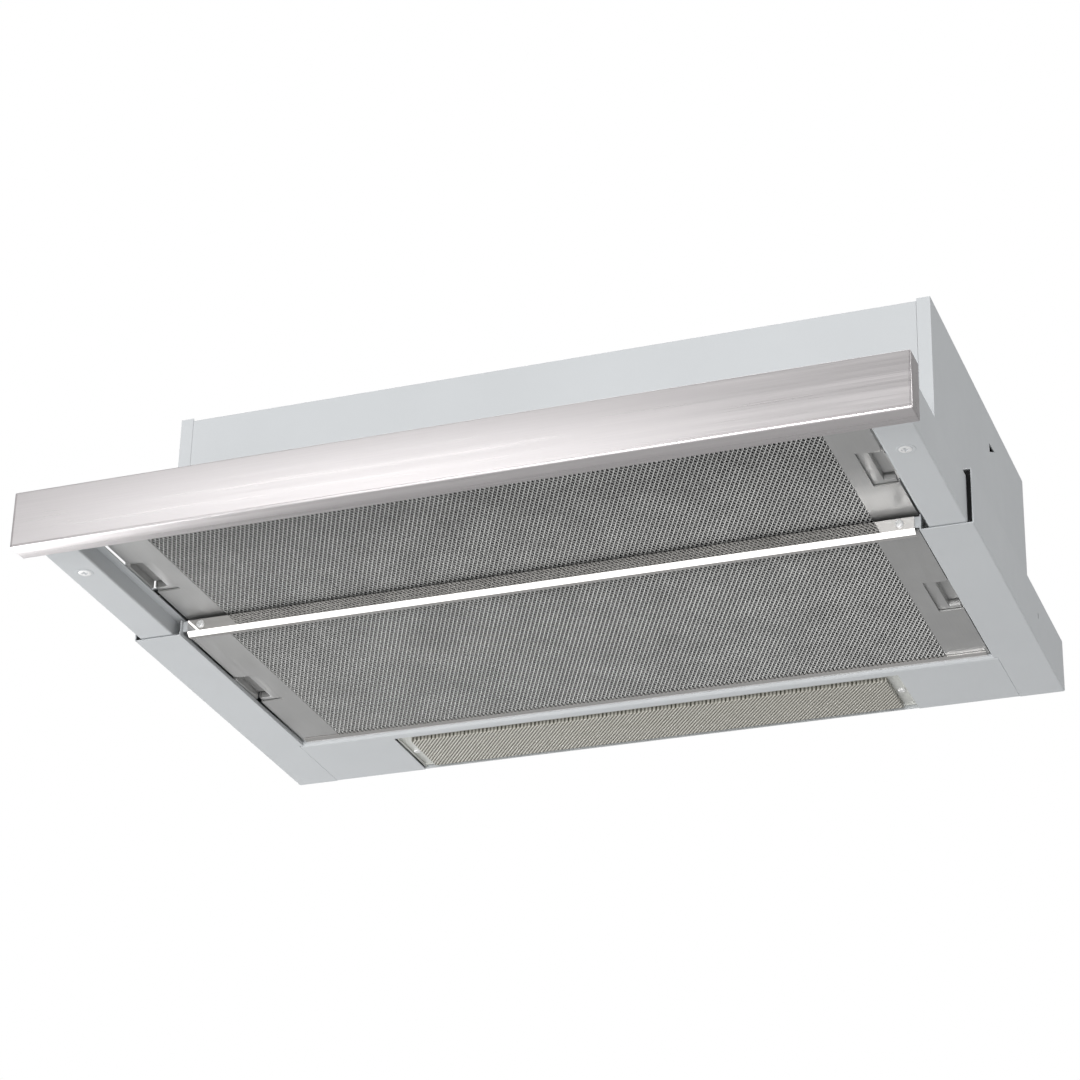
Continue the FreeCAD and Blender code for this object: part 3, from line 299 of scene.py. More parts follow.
    @staticmethod
    def copy(piece: Piece, name: str, offset: Sequence[float]) -> Piece:
        """Copy a piece, with its own mesh, and move the copy.

        Args:
            piece: The piece.
            name: The copy's name.
            offset: How far the copy is moved.

        Returns:
            The copy.
        """
        Bench.only(piece)
        bpy.ops.object.duplicate(linked=False)
        bpy.ops.transform.translate(value=Vector(offset))
        return Bench.settle(name)

    @staticmethod
    def mirror(piece: Piece, name: str, axis: Axis) -> Piece:
        """Copy a piece to the other side of the origin along an axis.

        Args:
            piece: The piece.
            name: The copy's name.
            axis: The axis that is turned round.

        Returns:
            The mirrored copy, with its normals outwards.
        """
        Bench.only(piece)
        bpy.ops.object.duplicate(linked=False)
        scale = [1.0, 1.0, 1.0]
        scale[axis.value] = -1.0
        bpy.context.object.scale = scale
        made = Bench.settle(name)
        Bench.outwards(made)
        return made

    @staticmethod
    def outwards(piece: Piece) -> None:
        """Turn a closed piece's normals outwards.

        Args:
            piece: The piece.
        """
        Bench.edit(piece, any_face)
        bpy.ops.mesh.normals_make_consistent(inside=False)
        Bench.leave()

    @staticmethod
    def smooth(piece: Piece, angle: float = 35.0) -> None:
        """Shade a piece smooth up to an angle in degrees."""
        Bench.only(piece)
        bpy.ops.object.shade_smooth_by_angle(angle=math.radians(angle))


class Graph:
    """Node graph of one finish."""

    def __init__(self, name: str) -> None:
        """Start a material with its shader.

        Args:
            name: The material's name.
        """
        self.material = bpy.data.materials.new(name)
        self.material.use_nodes = True
        self.tree = self.material.node_tree
        self.tree.nodes.clear()
        self.shader = self.add("ShaderNodeBsdfPrincipled")
        output = self.add("ShaderNodeOutputMaterial")
        self.link(self.shader.outputs["BSDF"], output.inputs["Surface"])
        self.coords = self.add("ShaderNodeTexCoord").outputs["Object"]

    def add(self, kind: str, **settings: object) -> bpy.types.Node:
        """Add a node.

        Args:
            kind: The node's type.
            settings: Its settings.

        Returns:
            The node.
        """
        node = self.tree.nodes.new(kind)
        for name, value in settings.items():
            setattr(node, name, value)
        return node

    def link(self, start: Socket, end: Socket) -> None:
        """Link two sockets."""
        self.tree.links.new(start, end)

    def feed(self, name: str, value: Socket) -> None:
        """Link a value to one of the shader's sockets."""
        self.link(value, self.shader.inputs[name])

    def fix(self, **values: object) -> None:
        """Set the shader's own sockets; underscores stand for spaces."""
        for name, value in values.items():
            self.shader.inputs[name.replace("_", " ")].default_value = value

    def noise(self, scale: float, detail: float = 2.0,
              stretch: Colour = (1, 1, 1)) -> Socket:
        """Add noise on the piece's own coordinates.

        Args:
            scale: Features per metre.
            detail: Levels of detail.
            stretch: Scale of each axis before the noise.

        Returns:
            The noise's value.
        """
        mapping = self.add("ShaderNodeMapping")
        mapping.inputs["Scale"].default_value = stretch
        self.link(self.coords, mapping.inputs["Vector"])
        noise = self.add("ShaderNodeTexNoise")
        noise.inputs["Scale"].default_value = scale
        noise.inputs["Detail"].default_value = detail
        self.link(mapping.outputs["Vector"], noise.inputs["Vector"])
        return noise.outputs["Fac"]

    def ramp(self, value: Socket, low: Colour, high: Colour, start: float = 0.3,
             end: float = 0.7) -> Socket:
        """Blend two colours by a value.

        Args:
            value: What drives the blend.
            low: Colour at the start.
            high: Colour at the end.
            start: Value at which the blend starts.
            end: Value at which it ends.

        Returns:
            The colour.
        """
        ramp = self.add("ShaderNodeValToRGB")
        ramp.color_ramp.elements[0].position = start
        ramp.color_ramp.elements[1].position = end
        ramp.color_ramp.elements[0].color = (*low, 1)
        ramp.color_ramp.elements[1].color = (*high, 1)
        self.link(value, ramp.inputs["Fac"])
        return ramp.outputs["Color"]

    def spread(self, value: Socket, low: float, high: float) -> Socket:
        """Spread a noise's middle range over two limits.

        Args:
            value: The noise.
            low: Lower limit.
            high: Upper limit.

        Returns:
            The value between the limits.
        """
        remap = self.add("ShaderNodeMapRange")
        for name, limit in (("From Min", 0.3), ("From Max", 0.7), ("To Min", low), ("To Max", high)):
            remap.inputs[name].default_value = limit
        self.link(value, remap.inputs["Value"])
        return remap.outputs["Result"]

    def bump(self, height: Socket, depth: float, strength: float) -> None:
        """Raise the surface in its shading.

        Args:
            height: The height, from 0 to 1.
            depth: What a height of 1 stands for, in metres.
            strength: Share of it that shows.
        """
        bump = self.add("ShaderNodeBump")
        bump.inputs["Distance"].default_value = depth
        bump.inputs["Strength"].default_value = strength
        self.link(height, bump.inputs["Height"])
        self.feed("Normal", bump.outputs["Normal"])


def shade(colour: Colour, factor: float) -> Colour:
    """Scale a colour by a factor, within white."""
    return tuple(min(1.0, channel * factor) for channel in colour)


@dataclass(frozen=True)
class PowderCoat:
    """Baked paint with a fine orange-peel texture."""

    name: str
    colour: Colour
    roughness: float = 0.42
    peel: float = 0.25

    def build(self) -> bpy.types.Material:
        """Make the material."""
        graph = Graph(self.name)
        tone = graph.noise(9.0, 3.0)
        colour = graph.ramp(tone, shade(self.colour, 0.975), shade(self.colour, 1.02))
        graph.feed("Base Color", colour)
        rough = graph.spread(graph.noise(60.0, 4.0), self.roughness - 0.04, self.roughness + 0.05)
        graph.feed("Roughness", rough)
        graph.bump(graph.noise(620.0, 2.0), 0.00009, self.peel)
        graph.fix(Specular_IOR_Level=0.45)
        return graph.material


@dataclass(frozen=True)
class BrushedMetal:
    """Metal with a fine grain along one axis."""

    name: str
    colour: Colour
    grain: Axis
    rough_low: float = 0.24
    rough_high: float = 0.4
    contrast: float = 0.045
    metallic: float = 1.0

    def build(self) -> bpy.types.Material:
        """Make the material."""
        graph = Graph(self.name)
        along = [1.0, 1.0, 1.0]
        along[self.grain.value] = 0.008
        grain = graph.noise(1500.0, 4.0, tuple(along))
        bands = graph.noise(160.0, 2.0, tuple(along))
        mixed = graph.add("ShaderNodeMath", operation="MULTIPLY_ADD")
        graph.link(bands, mixed.inputs[0])
        mixed.inputs[1].default_value = 0.5
        halved = graph.add("ShaderNodeMath", operation="MULTIPLY")
        graph.link(grain, halved.inputs[0])
        halved.inputs[1].default_value = 0.5
        graph.link(halved.outputs["Value"], mixed.inputs[2])
        value = mixed.outputs["Value"]
        colour = graph.ramp(value, shade(self.colour, 1 - self.contrast),
                            shade(self.colour, 1 + self.contrast))
        graph.feed("Base Color", colour)
        graph.feed("Roughness", graph.spread(value, self.rough_low, self.rough_high))
        graph.bump(grain, 0.00003, 0.25)
        graph.fix(Metallic=self.metallic)
        return graph.material


@dataclass(frozen=True)
class Polished:
    """Bright metal with faint rubbing marks."""

    name: str
    colour: Colour
    roughness: float = 0.06

    def build(self) -> bpy.types.Material:
        """Make the material."""
        graph = Graph(self.name)
        marks = graph.noise(900.0, 3.0, (0.02, 1.0, 1.0))
        graph.feed("Base Color", graph.ramp(marks, shade(self.colour, 0.96), self.colour))
        rough = graph.spread(marks, self.roughness * 0.7, self.roughness * 1.7)
        graph.feed("Roughness", rough)
        graph.fix(Metallic=1.0)
        return graph.material


@dataclass(frozen=True)
class SatinSheet:
    """Rolled aluminium sheet with soft cloudy marks."""

    name: str
    colour: Colour
    metallic: float = 0.75

    def build(self) -> bpy.types.Material:
        """Make the material."""
        graph = Graph(self.name)
        cloud = graph.noise(26.0, 4.0)
        grain = graph.noise(1100.0, 3.0, (1.0, 0.02, 1.0))
        colour = graph.ramp(cloud, shade(self.colour, 0.95), shade(self.colour, 1.03))
        graph.feed("Base Color", colour)
        graph.feed("Roughness", graph.spread(grain, 0.36, 0.5))
        graph.bump(grain, 0.00002, 0.3)
        graph.fix(Metallic=self.metallic)
        return graph.material


@dataclass(frozen=True)
class ExpandedSheet:
    """Slit and stretched aluminium, with a painted highlight on the strands that run one way."""

    name: str
    painted_highlight_colour: Colour
    plain_strand_colour: Colour
    highlit_strand_way: Tuple[float, float, float] = (-0.455, 0.89, 0.0)
    metallic: float = 0.2

    def build(self) -> bpy.types.Material:
        """Make the material."""
        graph = Graph(self.name)
        # Painted highlight: by its normal, each face of the strands that run one way gets the bright
        # colour, and the other way the plain grey, standing in for a light's glint.
        across = graph.add("ShaderNodeVectorMath", operation="DOT_PRODUCT")
        graph.link(graph.coords.node.outputs["Normal"], across.inputs[0])
        across.inputs[1].default_value = self.highlit_strand_way
        size = graph.add("ShaderNodeMath", operation="ABSOLUTE")
        graph.link(across.outputs["Value"], size.inputs[0])
        colour = graph.ramp(size.outputs["Value"], self.painted_highlight_colour, self.plain_strand_colour, 0.12, 0.42)
        worn_and_highlit = graph.add("ShaderNodeVectorMath", operation="MULTIPLY")
        graph.link(colour, worn_and_highlit.inputs[0])
        graph.link(graph.ramp(graph.noise(35.0, 4.0), (0.86, 0.86, 0.86), (1, 1, 1)), worn_and_highlit.inputs[1])
        graph.feed("Base Color", worn_and_highlit.outputs["Vector"])
        graph.feed("Roughness", graph.spread(graph.noise(900.0), 0.18, 0.34))
        graph.fix(Metallic=self.metallic)
        return graph.material


@dataclass(frozen=True)
class DeepMesh:
    """Inner layers of the mesh pack, seen through the outer one, painted near-black as the shade deep
    inside the pack.
    """

    name: str
    dark: Colour
    light: Colour
    pitch: float

    def build(self) -> bpy.types.Material:
        """Make the material."""
        graph = Graph(self.name)
        cells = graph.add("ShaderNodeTexVoronoi", feature="DISTANCE_TO_EDGE")
        mapping = graph.add("ShaderNodeMapping")
        mapping.inputs["Scale"].default_value = (2.0, 1.0, 1.0)
        graph.link(graph.coords, mapping.inputs["Vector"])
        graph.link(mapping.outputs["Vector"], cells.inputs["Vector"])
        cells.inputs["Scale"].default_value = 1.0 / self.pitch
        # Painted shade: near-black cells with faintly lighter edges.
        colour = graph.ramp(cells.outputs["Distance"], self.light, self.dark, 0.02, 0.22)
        graph.feed("Base Color", colour)
        graph.feed("Roughness", graph.spread(graph.noise(400.0), 0.45, 0.7))
        graph.bump(cells.outputs["Distance"], 0.0008, -0.6)
        graph.fix(Metallic=0.6)
        return graph.material


@dataclass(frozen=True)
class Moulded:
    """Moulded plastic with a fine eroded texture."""

    name: str
    colour: Colour
    roughness: float = 0.5
    texture: float = 0.3

    def build(self) -> bpy.types.Material:
        """Make the material."""
        graph = Graph(self.name)
        tone = graph.noise(30.0, 3.0)
        graph.feed("Base Color", graph.ramp(tone, shade(self.colour, 0.92), shade(self.colour, 1.06)))
        fine = graph.noise(2200.0, 3.0)
        graph.feed("Roughness", graph.spread(fine, self.roughness - 0.07, self.roughness + 0.07))
        graph.bump(fine, 0.00005, self.texture)
        return graph.material


@dataclass(frozen=True)
class ClearPlastic:
    """Translucent acrylic or glass."""

    name: str
    colour: Colour
    through: float
    roughness: float

    def build(self) -> bpy.types.Material:
        """Make the material."""
        graph = Graph(self.name)
        cloud = graph.noise(45.0, 3.0)
        graph.feed("Base Color", graph.ramp(cloud, shade(self.colour, 0.95), shade(self.colour, 1.03)))
        rough = graph.spread(graph.noise(300.0), self.roughness * 0.8, self.roughness * 1.25)
        graph.feed("Roughness", rough)
        graph.fix(Transmission_Weight=self.through, IOR=1.49)
        return graph.material


@dataclass(frozen=True)
class PrismPlastic:
    """Clear plastic with fine prism lines on two diagonals, coloured as stripes from near-black up to a
    bright warm tone: painted highlights and shade of the prism facets.
    """

    name: str
    light: Colour
    dark: Colour
    pitch: float = 2.3 * MM
    roughness: float = 0.2

    def build(self) -> bpy.types.Material:
        """Make the material."""
        graph = Graph(self.name)
        strong = self.lines(graph, math.radians(-38))
        weak = self.lines(graph, math.radians(52))
        mix = graph.add("ShaderNodeMath", operation="MULTIPLY_ADD")
        graph.link(weak, mix.inputs[0])
        mix.inputs[1].default_value = 0.35
        graph.link(strong, mix.inputs[2])
        # Painted highlights and shade of the prisms: the lines blend from the dark tone to the light one.
        colour = graph.ramp(mix.outputs["Value"], self.dark, self.light, 0.1, 0.95)
        graph.feed("Base Color", colour)
        rough = graph.spread(graph.noise(200.0), self.roughness * 0.7, self.roughness * 1.3)
        graph.feed("Roughness", rough)
        graph.bump(mix.outputs["Value"], 0.0006, 0.7)
        graph.fix(Transmission_Weight=0.12, IOR=1.49)
        return graph.material

    def lines(self, graph: Graph, turn: float) -> Socket:
        """Add a set of parallel lines.

        Args:
            graph: The graph they are added to.
            turn: Their turn about Z, in radians.

        Returns:
            A value that rises and falls across the lines.
        """
        mapping = graph.add("ShaderNodeMapping")
        mapping.inputs["Rotation"].default_value = (0, 0, turn)
        graph.link(graph.coords, mapping.inputs["Vector"])
        wave = graph.add("ShaderNodeTexWave", wave_type="BANDS", bands_direction="X", wave_profile="SIN")
        wave.inputs["Scale"].default_value = math.tau / 20 / self.pitch
        wave.inputs["Distortion"].default_value = 0.0
        graph.link(mapping.outputs["Vector"], wave.inputs["Vector"])
        return wave.outputs["Fac"]


class Finishes:
    """Every finish of the hood, each made once."""

    RECIPES = {
        "paint": PowderCoat("powder_coat", (0.60, 0.62, 0.635)),
        "inner_paint": PowderCoat("inner_coat", (0.30, 0.31, 0.315), 0.5),
        "front_bar": BrushedMetal("brushed_front", (0.76, 0.73, 0.735), Axis.X),
        "rail": Polished("polished_rail", (0.90, 0.88, 0.86), 0.05),
        "zinc": BrushedMetal("zinc_plate", (0.58, 0.59, 0.60), Axis.Y, 0.3, 0.45),
        "filter_sheet": SatinSheet("filter_sheet", (0.52, 0.52, 0.515)),
        # Mesh strands: a painted highlight white on one way of the strands, and the plain strand grey.
        "strand": ExpandedSheet("mesh_strand", (1.0, 1.0, 0.99), (0.55, 0.55, 0.54)),
        # Deep mesh: near-black painted shade for the inside of the filter pack.
        "deep_mesh": DeepMesh("deep_mesh", (0.004, 0.004, 0.0045), (0.05, 0.05, 0.05), 0.0034),
        "screw": SatinSheet("plated_screw", (0.93, 0.93, 0.93), 0.35),
        "ground_pin": BrushedMetal("ground_pin", (0.55, 0.55, 0.56), Axis.X, 0.18, 0.3),
        "dark_plastic": Moulded("dark_plastic", (0.035, 0.036, 0.04)),
        "grey_plastic": Moulded("grey_plastic", (0.20, 0.21, 0.215)),
        "white_plastic": Moulded("white_plastic", (0.66, 0.66, 0.62), 0.42),
        "knob": Moulded("knob_plastic", (0.05, 0.05, 0.055), 0.3, 0.15),
        # Lamp lens: dark and light tones of its painted prism shade and highlights.
        "lens": PrismPlastic("lamp_lens", (0.72, 0.70, 0.63), (0.07, 0.065, 0.045)),
        "lens_rim": ClearPlastic("lens_rim", (0.85, 0.86, 0.82), 0.25, 0.15),
        # Near-black painted shade for the strips in the gap by the drawer sides.
        "shade_black": Moulded("draught_felt", (0.006, 0.006, 0.007), 0.95, 0.8),
        "tube": ClearPlastic("lamp_tube", (0.86, 0.86, 0.84), 0.1, 0.25),
        "lamp_metal": SatinSheet("lamp_metal", (0.62, 0.62, 0.62), 1.0),
        "enamel": PowderCoat("white_enamel", (0.80, 0.80, 0.78), 0.25, 0.1),
        "motor_coat": PowderCoat("motor_coat", (0.07, 0.075, 0.08), 0.5, 0.5),
    }

    def __init__(self) -> None:
        """Make every material."""
        self.made: Dict[str, bpy.types.Material] = {
            name: recipe.build() for name, recipe in self.RECIPES.items()}

    def dress(self, piece: Piece, finish: str) -> None:
        """Give a piece one finish all over."""
        piece.data.materials.clear()
        piece.data.materials.append(self.made[finish])


@dataclass
class Workshop:
    """What every sub-assembly needs to finish its pieces."""

    finishes: Finishes

    def place(self, piece: Piece, finish: str, body: str, slot: str, replaced: Sequence[str] = (),
              smooth: float = 35.0) -> Piece:
        """Finish a piece: its shading, material and body.

        Args:
            piece: The piece.
            finish: The name of its finish.
            body: The body that it moves with.
            slot: The record's material slot; not used.
            replaced: CAD nodes that it stands for.
            smooth: Angle up to which it is shaded smooth, in degrees.

        Returns:
            The piece.
        """
        Bench.smooth(piece, smooth)
        self.finishes.dress(piece, finish)
        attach(piece, body)
        if replaced:
            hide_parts(*replaced)
        LOG.info("%s: %d faces on %s", piece.name, len(piece.data.polygons), body)
        return piece


@dataclass
class CadDress:
    """Finishes of the CAD nodes that stay in view."""

    shop: Workshop
    by_slot: Dict[str, str] = field(default_factory=lambda: {
        "painted_steel": "paint",
        "inner_steel": "inner_paint",
        "brushed_front": "front_bar",
        "bright_rail": "rail",
        "zinc_steel": "zinc",
        "filter_aluminium": "filter_sheet",
        "filter_mesh": "deep_mesh",
        "screw_steel": "screw",
        "pin_steel": "ground_pin",
        "grey_plastic": "grey_plastic",
        "dark_plastic": "dark_plastic",
        "white_plastic": "white_plastic",
        "knob_plastic": "knob",
        "lamp_lens": "lens",
        "lamp_glass": "tube",
        "lamp_metal": "lamp_metal",
        "reflector_white": "enamel",
        "motor_steel": "motor_coat",
    })

    def dress(self) -> None:
        """Dress each node by its slot in the record."""
        for part in frame["record"]["subparts"]:
            node = frame["nodes"][part["node"]]
            self.shop.finishes.dress(node, self.by_slot[part["material_slot"]])


@dataclass
class FilterCassette:
    """Outer layers of expanded mesh on one grease filter."""

    shop: Workshop
    name: str
    body: str
    cell_width: float = 3.1 * MM
    cell_length: float = 6.13 * MM
    tuck: float = 2.0 * MM
    strand: float = 0.47 * MM
    flatness: float = 0.65
    relief: float = 0.42 * MM

    def build(self) -> None:
        """Weave the lower and the upper layer."""
        frame_low, frame_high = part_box(f"{self.name}_filter_frame")
        pack_low, pack_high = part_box(f"{self.name}_filter_mesh")
        low = Vector((pack_low.x + self.tuck, pack_low.y + self.tuck, 0))
        high = Vector((pack_high.x - self.tuck, pack_high.y - self.tuck, 0))
        depth = pack_low.z - frame_low.z
        levels = {Facing.DOWN: frame_low.z + depth / 2, Facing.UP: frame_high.z - depth / 2}
        for facing, level in levels.items():
            layer = self.weave(f"{self.name}_mesh_{facing.name.lower()}", low, high, level, facing)
            self.shop.place(layer, "strand", self.body, "filter_mesh", smooth=10.0)

    def weave(self, name: str, low: Vector, high: Vector, level: float, facing: Facing) -> Piece:
        """Make one layer from a zigzag strand and its mirror image.

        Args:
            name: The layer's name.
            low: Lowest corner of the window.
            high: Highest corner of the window.
            level: Height of the layer's middle.
            facing: The way its ridges face.

        Returns:
            The layer.
        """
        columns = round((high.x - low.x) / self.cell_width)
        rows = round((high.y - low.y) / self.cell_length)
        width = (high.x - low.x) / columns
        length = (high.y - low.y) / rows
        lift = self.relief * facing.value
        pair = []
        for start, way in ((low.x, 1), (low.x + width, -1)):
            pair.append(self.zigzag(Vector((start, low.y, level)), way * width / 2, length, lift, facing))
        unit = Bench.join(name, pair)
        Bench.row(unit, rows, Axis.Y, length, merge=True)
        Bench.row(unit, columns, Axis.X, width)
        Bench.edit(unit, any_face)
        bpy.ops.mesh.fill_holes(sides=4)
        bpy.ops.mesh.normals_make_consistent(inside=False)
        Bench.leave()
        return unit

    def zigzag(self, start: Vector, across: float, length: float, lift: float, facing: Facing) -> Piece:
        """Make one period of a strand, open at both ends.

        Args:
            start: Where the strand starts.
            across: How far it swings to the side.
            length: Its period along Y.
            lift: How far its middle stands out.
            facing: The way its ridge faces.

        Returns:
            The strand.
        """
        bpy.ops.object.select_all(action="DESELECT")
        turn = (math.pi / 2 * facing.value, 0, 0)
        bpy.ops.mesh.primitive_circle_add(vertices=3, radius=self.strand, fill_type="NGON", location=start,
                                          rotation=turn, scale=(1.25, self.flatness, 1))
        strand = Bench.settle("strand")
        Bench.edit(strand, any_face)
        for swing, rise in ((across, lift), (-across, -lift)):
            bpy.ops.mesh.extrude_region_move(TRANSFORM_OT_translate={"value": (swing, length / 2, rise)})
        Bench.leave()
        Bench.edit(strand, lambda centre, normal: abs(normal.y) > 0.99)
        bpy.ops.mesh.delete(type="ONLY_FACE")
        Bench.leave()
        return strand


@dataclass
class Latch:
    """Sliding finger latch at one end of a filter, behind the frame's window."""

    shop: Workshop
    filter_name: str
    side: Side
    plate: float = 0.9 * MM
    lap: float = 10.7 * MM
    arm: float = 5.0 * MM
    reach: float = 4.4 * MM
    notch: float = 1.3 * MM
    bolt: float = 1.4 * MM
    bolt_gap: float = 1.6 * MM
    skin: float = 1.0 * MM
    play: float = 0.3 * MM
    fillet: float = 0.25 * MM
    tongue_rim: float = 2.2 * MM
    tongue_dish: float = 0.4 * MM

    def build(self) -> None:
        """Model the right-hand latch, and mirror it for the left."""
        node = f"{self.filter_name}_latch_{self.side.name.lower()}"
        low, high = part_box(node)
        if self.side is Side.LEFT:
            low, high = Vector((-high.x, low.y, low.z)), Vector((-low.x, high.y, high.z))
        parts = self.make_parts(low, high)
        for part in parts:
            Bench.bevel(part, self.fillet, 2)
        name = f"{self.filter_name}_latch_pull_{self.side.name.lower()}"
        latch = Bench.join(name, parts)
        if self.side is Side.LEFT:
            right_hand = latch
            latch = Bench.mirror(right_hand, name, Axis.X)
            bpy.data.objects.remove(right_hand, do_unlink=True)
            latch.name = name
        self.shop.place(latch, "filter_sheet", node, "filter_aluminium", [node])

    def make_parts(self, low: Vector, high: Vector) -> List[Piece]:
        """Make the slotted plate, the finger cup, the bolt and its nose.

        Args:
            low: Lowest corner of the right-hand latch.
            high: Its highest corner.

        Returns:
            The parts, before their edges are rounded.
        """
        z_plate = low.z + self.skin
        z_bolt = high.z - self.bolt
        tip = high.x - self.reach - self.play - self.notch
        lap = low.x + self.lap
        slider = Bench.block("slider", (low.x, low.y, z_plate), (tip, high.y, z_plate + self.plate))
        pocket = Bench.block("pocket", (lap, low.y + self.arm, z_plate - self.plate),
                             (tip + self.plate, high.y - self.arm, z_plate + 2 * self.plate))
        Bench.carve(slider, pocket)
        inner = (low.y + self.arm, high.y - self.arm)
        cup = Bench.block("cup", (lap - self.plate, inner[0] - self.plate, z_plate + self.plate / 2),
                          (tip, inner[1] + self.plate, z_bolt + self.bolt))
        room = Bench.block("room", (lap, inner[0], z_plate - self.plate),
                           (tip + self.plate, inner[1], high.z + self.plate))
        Bench.carve(cup, room)
        tongue = Bench.block("tongue", (lap - self.plate / 2, inner[0] + self.bolt_gap, z_bolt),
                             (high.x, inner[1] - self.bolt_gap, high.z))
        Bench.dish(tongue, faces_down, self.tongue_rim, self.tongue_dish)
        nose = Bench.block("nose", (high.x - self.reach, inner[0] + self.bolt_gap, low.z),
                           (high.x, inner[1] - self.bolt_gap, high.z - self.bolt / 2))
        return [slider, cup, tongue, nose]


@dataclass
class ScrewHead:
    """Pan-head screw with a cross recess."""

    radius: float
    height: float
    recess: float = 0.9 * MM

    def build(self, name: str, centre: Vector, facing: Vector) -> Piece:
        """Model one screw head.

        Args:
            name: The head's name.
            centre: Centre of the head's seat.
            facing: Unit vector out of the head.

        Returns:
            The head.
        """
        head = Bench.rod(name, self.radius, (0, 0, -2 * self.height), 3 * self.height, Axis.Z, 40)
        Bench.edit(head, faces_up)
        bpy.ops.mesh.inset(thickness=self.radius * 0.3, depth=0)
        bpy.ops.transform.translate(value=(0, 0, self.height * 0.35))
        bpy.ops.mesh.inset(thickness=self.radius * 0.12, depth=0)
        Bench.leave()
        Bench.bevel(head, self.height * 0.3, 2, 50)
        blade = self.radius * 0.17
        reach = self.radius * 0.6
        for number, (wide, deep) in enumerate(((reach, blade), (blade, reach))):
            floor = self.height * 1.3 - self.recess
            Bench.carve(head, Bench.block(f"recess_{number}", (-wide, -deep, floor),
                                          (wide, deep, 2 * self.height)))
        turn = Vector((0, 0, 1)).rotation_difference(facing)
        head.rotation_mode = "QUATERNION"
        head.rotation_quaternion = turn
        head.location = centre
        Bench.only(head)
        return Bench.settle(name)


@dataclass
class Screws:
    """Every screw that shows."""

    shop: Workshop

    def build(self) -> None:
        """Set the screws of the drawer, rail, lamp cover and duct flange."""
        self.pair("drawer_screw_heads", "drawer_screws", ScrewHead(4.2 * MM, 0.3 * MM, 1.0 * MM), "drawer",
                  Vector((0, 0, -1)))
        self.dimples()
        self.pair("rail_screw_heads", "filter_rail_screws", ScrewHead(2.7 * MM, 0.9 * MM), "housing",
                  Vector((0, -1, 0)))
        self.pair("cover_screw_heads", "lamp_cover_screws", ScrewHead(2.7 * MM, 0.9 * MM), "housing",
                  Vector((0, 0, -1)))
        self.flange()

    def pair(self, name: str, node: str, kind: ScrewHead, body: str, facing: Vector) -> None:
        """Set a left and a right screw, which stand for one node.

        Args:
            name: The pieces' name.
            node: The CAD node they stand for.
            kind: The screw.
            body: The body that they move with.
            facing: Unit vector out of the heads.
        """
        low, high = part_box(node)
        x = high.x - kind.radius
        if facing.z:
            sunk = 1.0 if kind.height < 0.5 * MM else 1.4
            seat = Vector((x, (low.y + high.y) / 2, low.z + kind.height * sunk))
        else:
            seat = Vector((x, low.y + kind.height * 1.4, (low.z + high.z) / 2))
        right = kind.build(name, seat, facing)
        left = Bench.copy(right, f"{name}_left", (-2 * x, 0, 0))
        self.shop.place(Bench.join(name, [right, left]), "screw", body, "screw_steel", [node], 30.0)

    def dimples(self) -> None:
        """Press a shallow dimple ring round each drawer screw."""
        low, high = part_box("drawer_screws")
        y = (low.y + high.y) / 2
        x = high.x - 3.8 * MM
        ring = Bench.rod("drawer_screw_ring", 6.2 * MM, (x, y, low.z + 0.1 * MM), 0.3 * MM, Axis.Z, 56)
        Bench.edit(ring, faces_down)
        bpy.ops.mesh.inset(thickness=1.4 * MM, depth=0)
        bpy.ops.mesh.inset(thickness=0.8 * MM, depth=0)
        bpy.ops.transform.translate(value=(0, 0, 0.18 * MM))
        Bench.leave()
        Bench.bevel(ring, 0.12 * MM, 3, 25)
        other = Bench.copy(ring, "drawer_screw_ring_left", (-2 * x, 0, 0))
        self.shop.place(Bench.join("drawer_screw_rings", [ring, other]), "paint", "drawer", "painted_steel")

    def flange(self) -> None:
        """Set the four screws of the duct flange."""
        low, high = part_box("spigot_screws")
        kind = ScrewHead(3.8 * MM, 0.9 * MM, 1.2 * MM)
        reach = high.x - kind.radius
        seat = Vector((reach, reach, high.z - kind.height * 1.35))
        first = kind.build("flange_screw_heads", seat, Vector((0, 0, 1)))
        shifts = ((-2 * reach, 0, 0), (0, -2 * reach, 0), (-2 * reach, -2 * reach, 0))
        copies = [Bench.copy(first, f"flange_screw_{number}", shift) for number, shift in enumerate(shifts)]
        heads = Bench.join("flange_screw_heads", [first, *copies])
        self.shop.place(heads, "screw", "housing", "screw_steel", ["spigot_screws"], 30.0)


@dataclass
class FrontBar:
    """Brushed front bar, folded from one sheet, with closed ends."""

    shop: Workshop
    fold: float = 1.1 * MM
    wall: float = 1.0 * MM
    seam: float = 0.35 * MM
    seam_in: float = 1.6 * MM
    seam_up: float = 1.32 * MM

    def build(self) -> None:
        """Model the bar's skin and its end seams."""
        low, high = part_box("fascia")
        bar = Bench.block("front_bar", low, high)
        Bench.bevel(bar, self.fold, 4)
        Bench.edit(bar, lambda centre, normal: centre.y > high.y - self.fold * 1.01 and normal.y > 0.1)
        bpy.ops.mesh.delete(type="FACE")
        Bench.leave()
        Bench.apply(bar, "SOLIDIFY", thickness=self.wall, offset=-1)
        grooves = []
        for sign in (1, -1):
            x = sign * (high.x - self.seam_in)
            grooves.append(Bench.block("seam", (x - self.seam / 2, low.y - self.wall, low.z - self.wall),
                                       (x + self.seam / 2, low.y + self.seam, high.z + self.wall)))
        z = low.z + self.seam_up
        grooves.append(Bench.block("seam", (low.x - self.wall, low.y - self.wall, z - self.seam / 2),
                                   (high.x + self.wall, low.y + self.seam, z + self.seam / 2)))
        Bench.carve(bar, *grooves)
        self.shop.place(bar, "front_bar", "drawer", "brushed_front", ["fascia"])


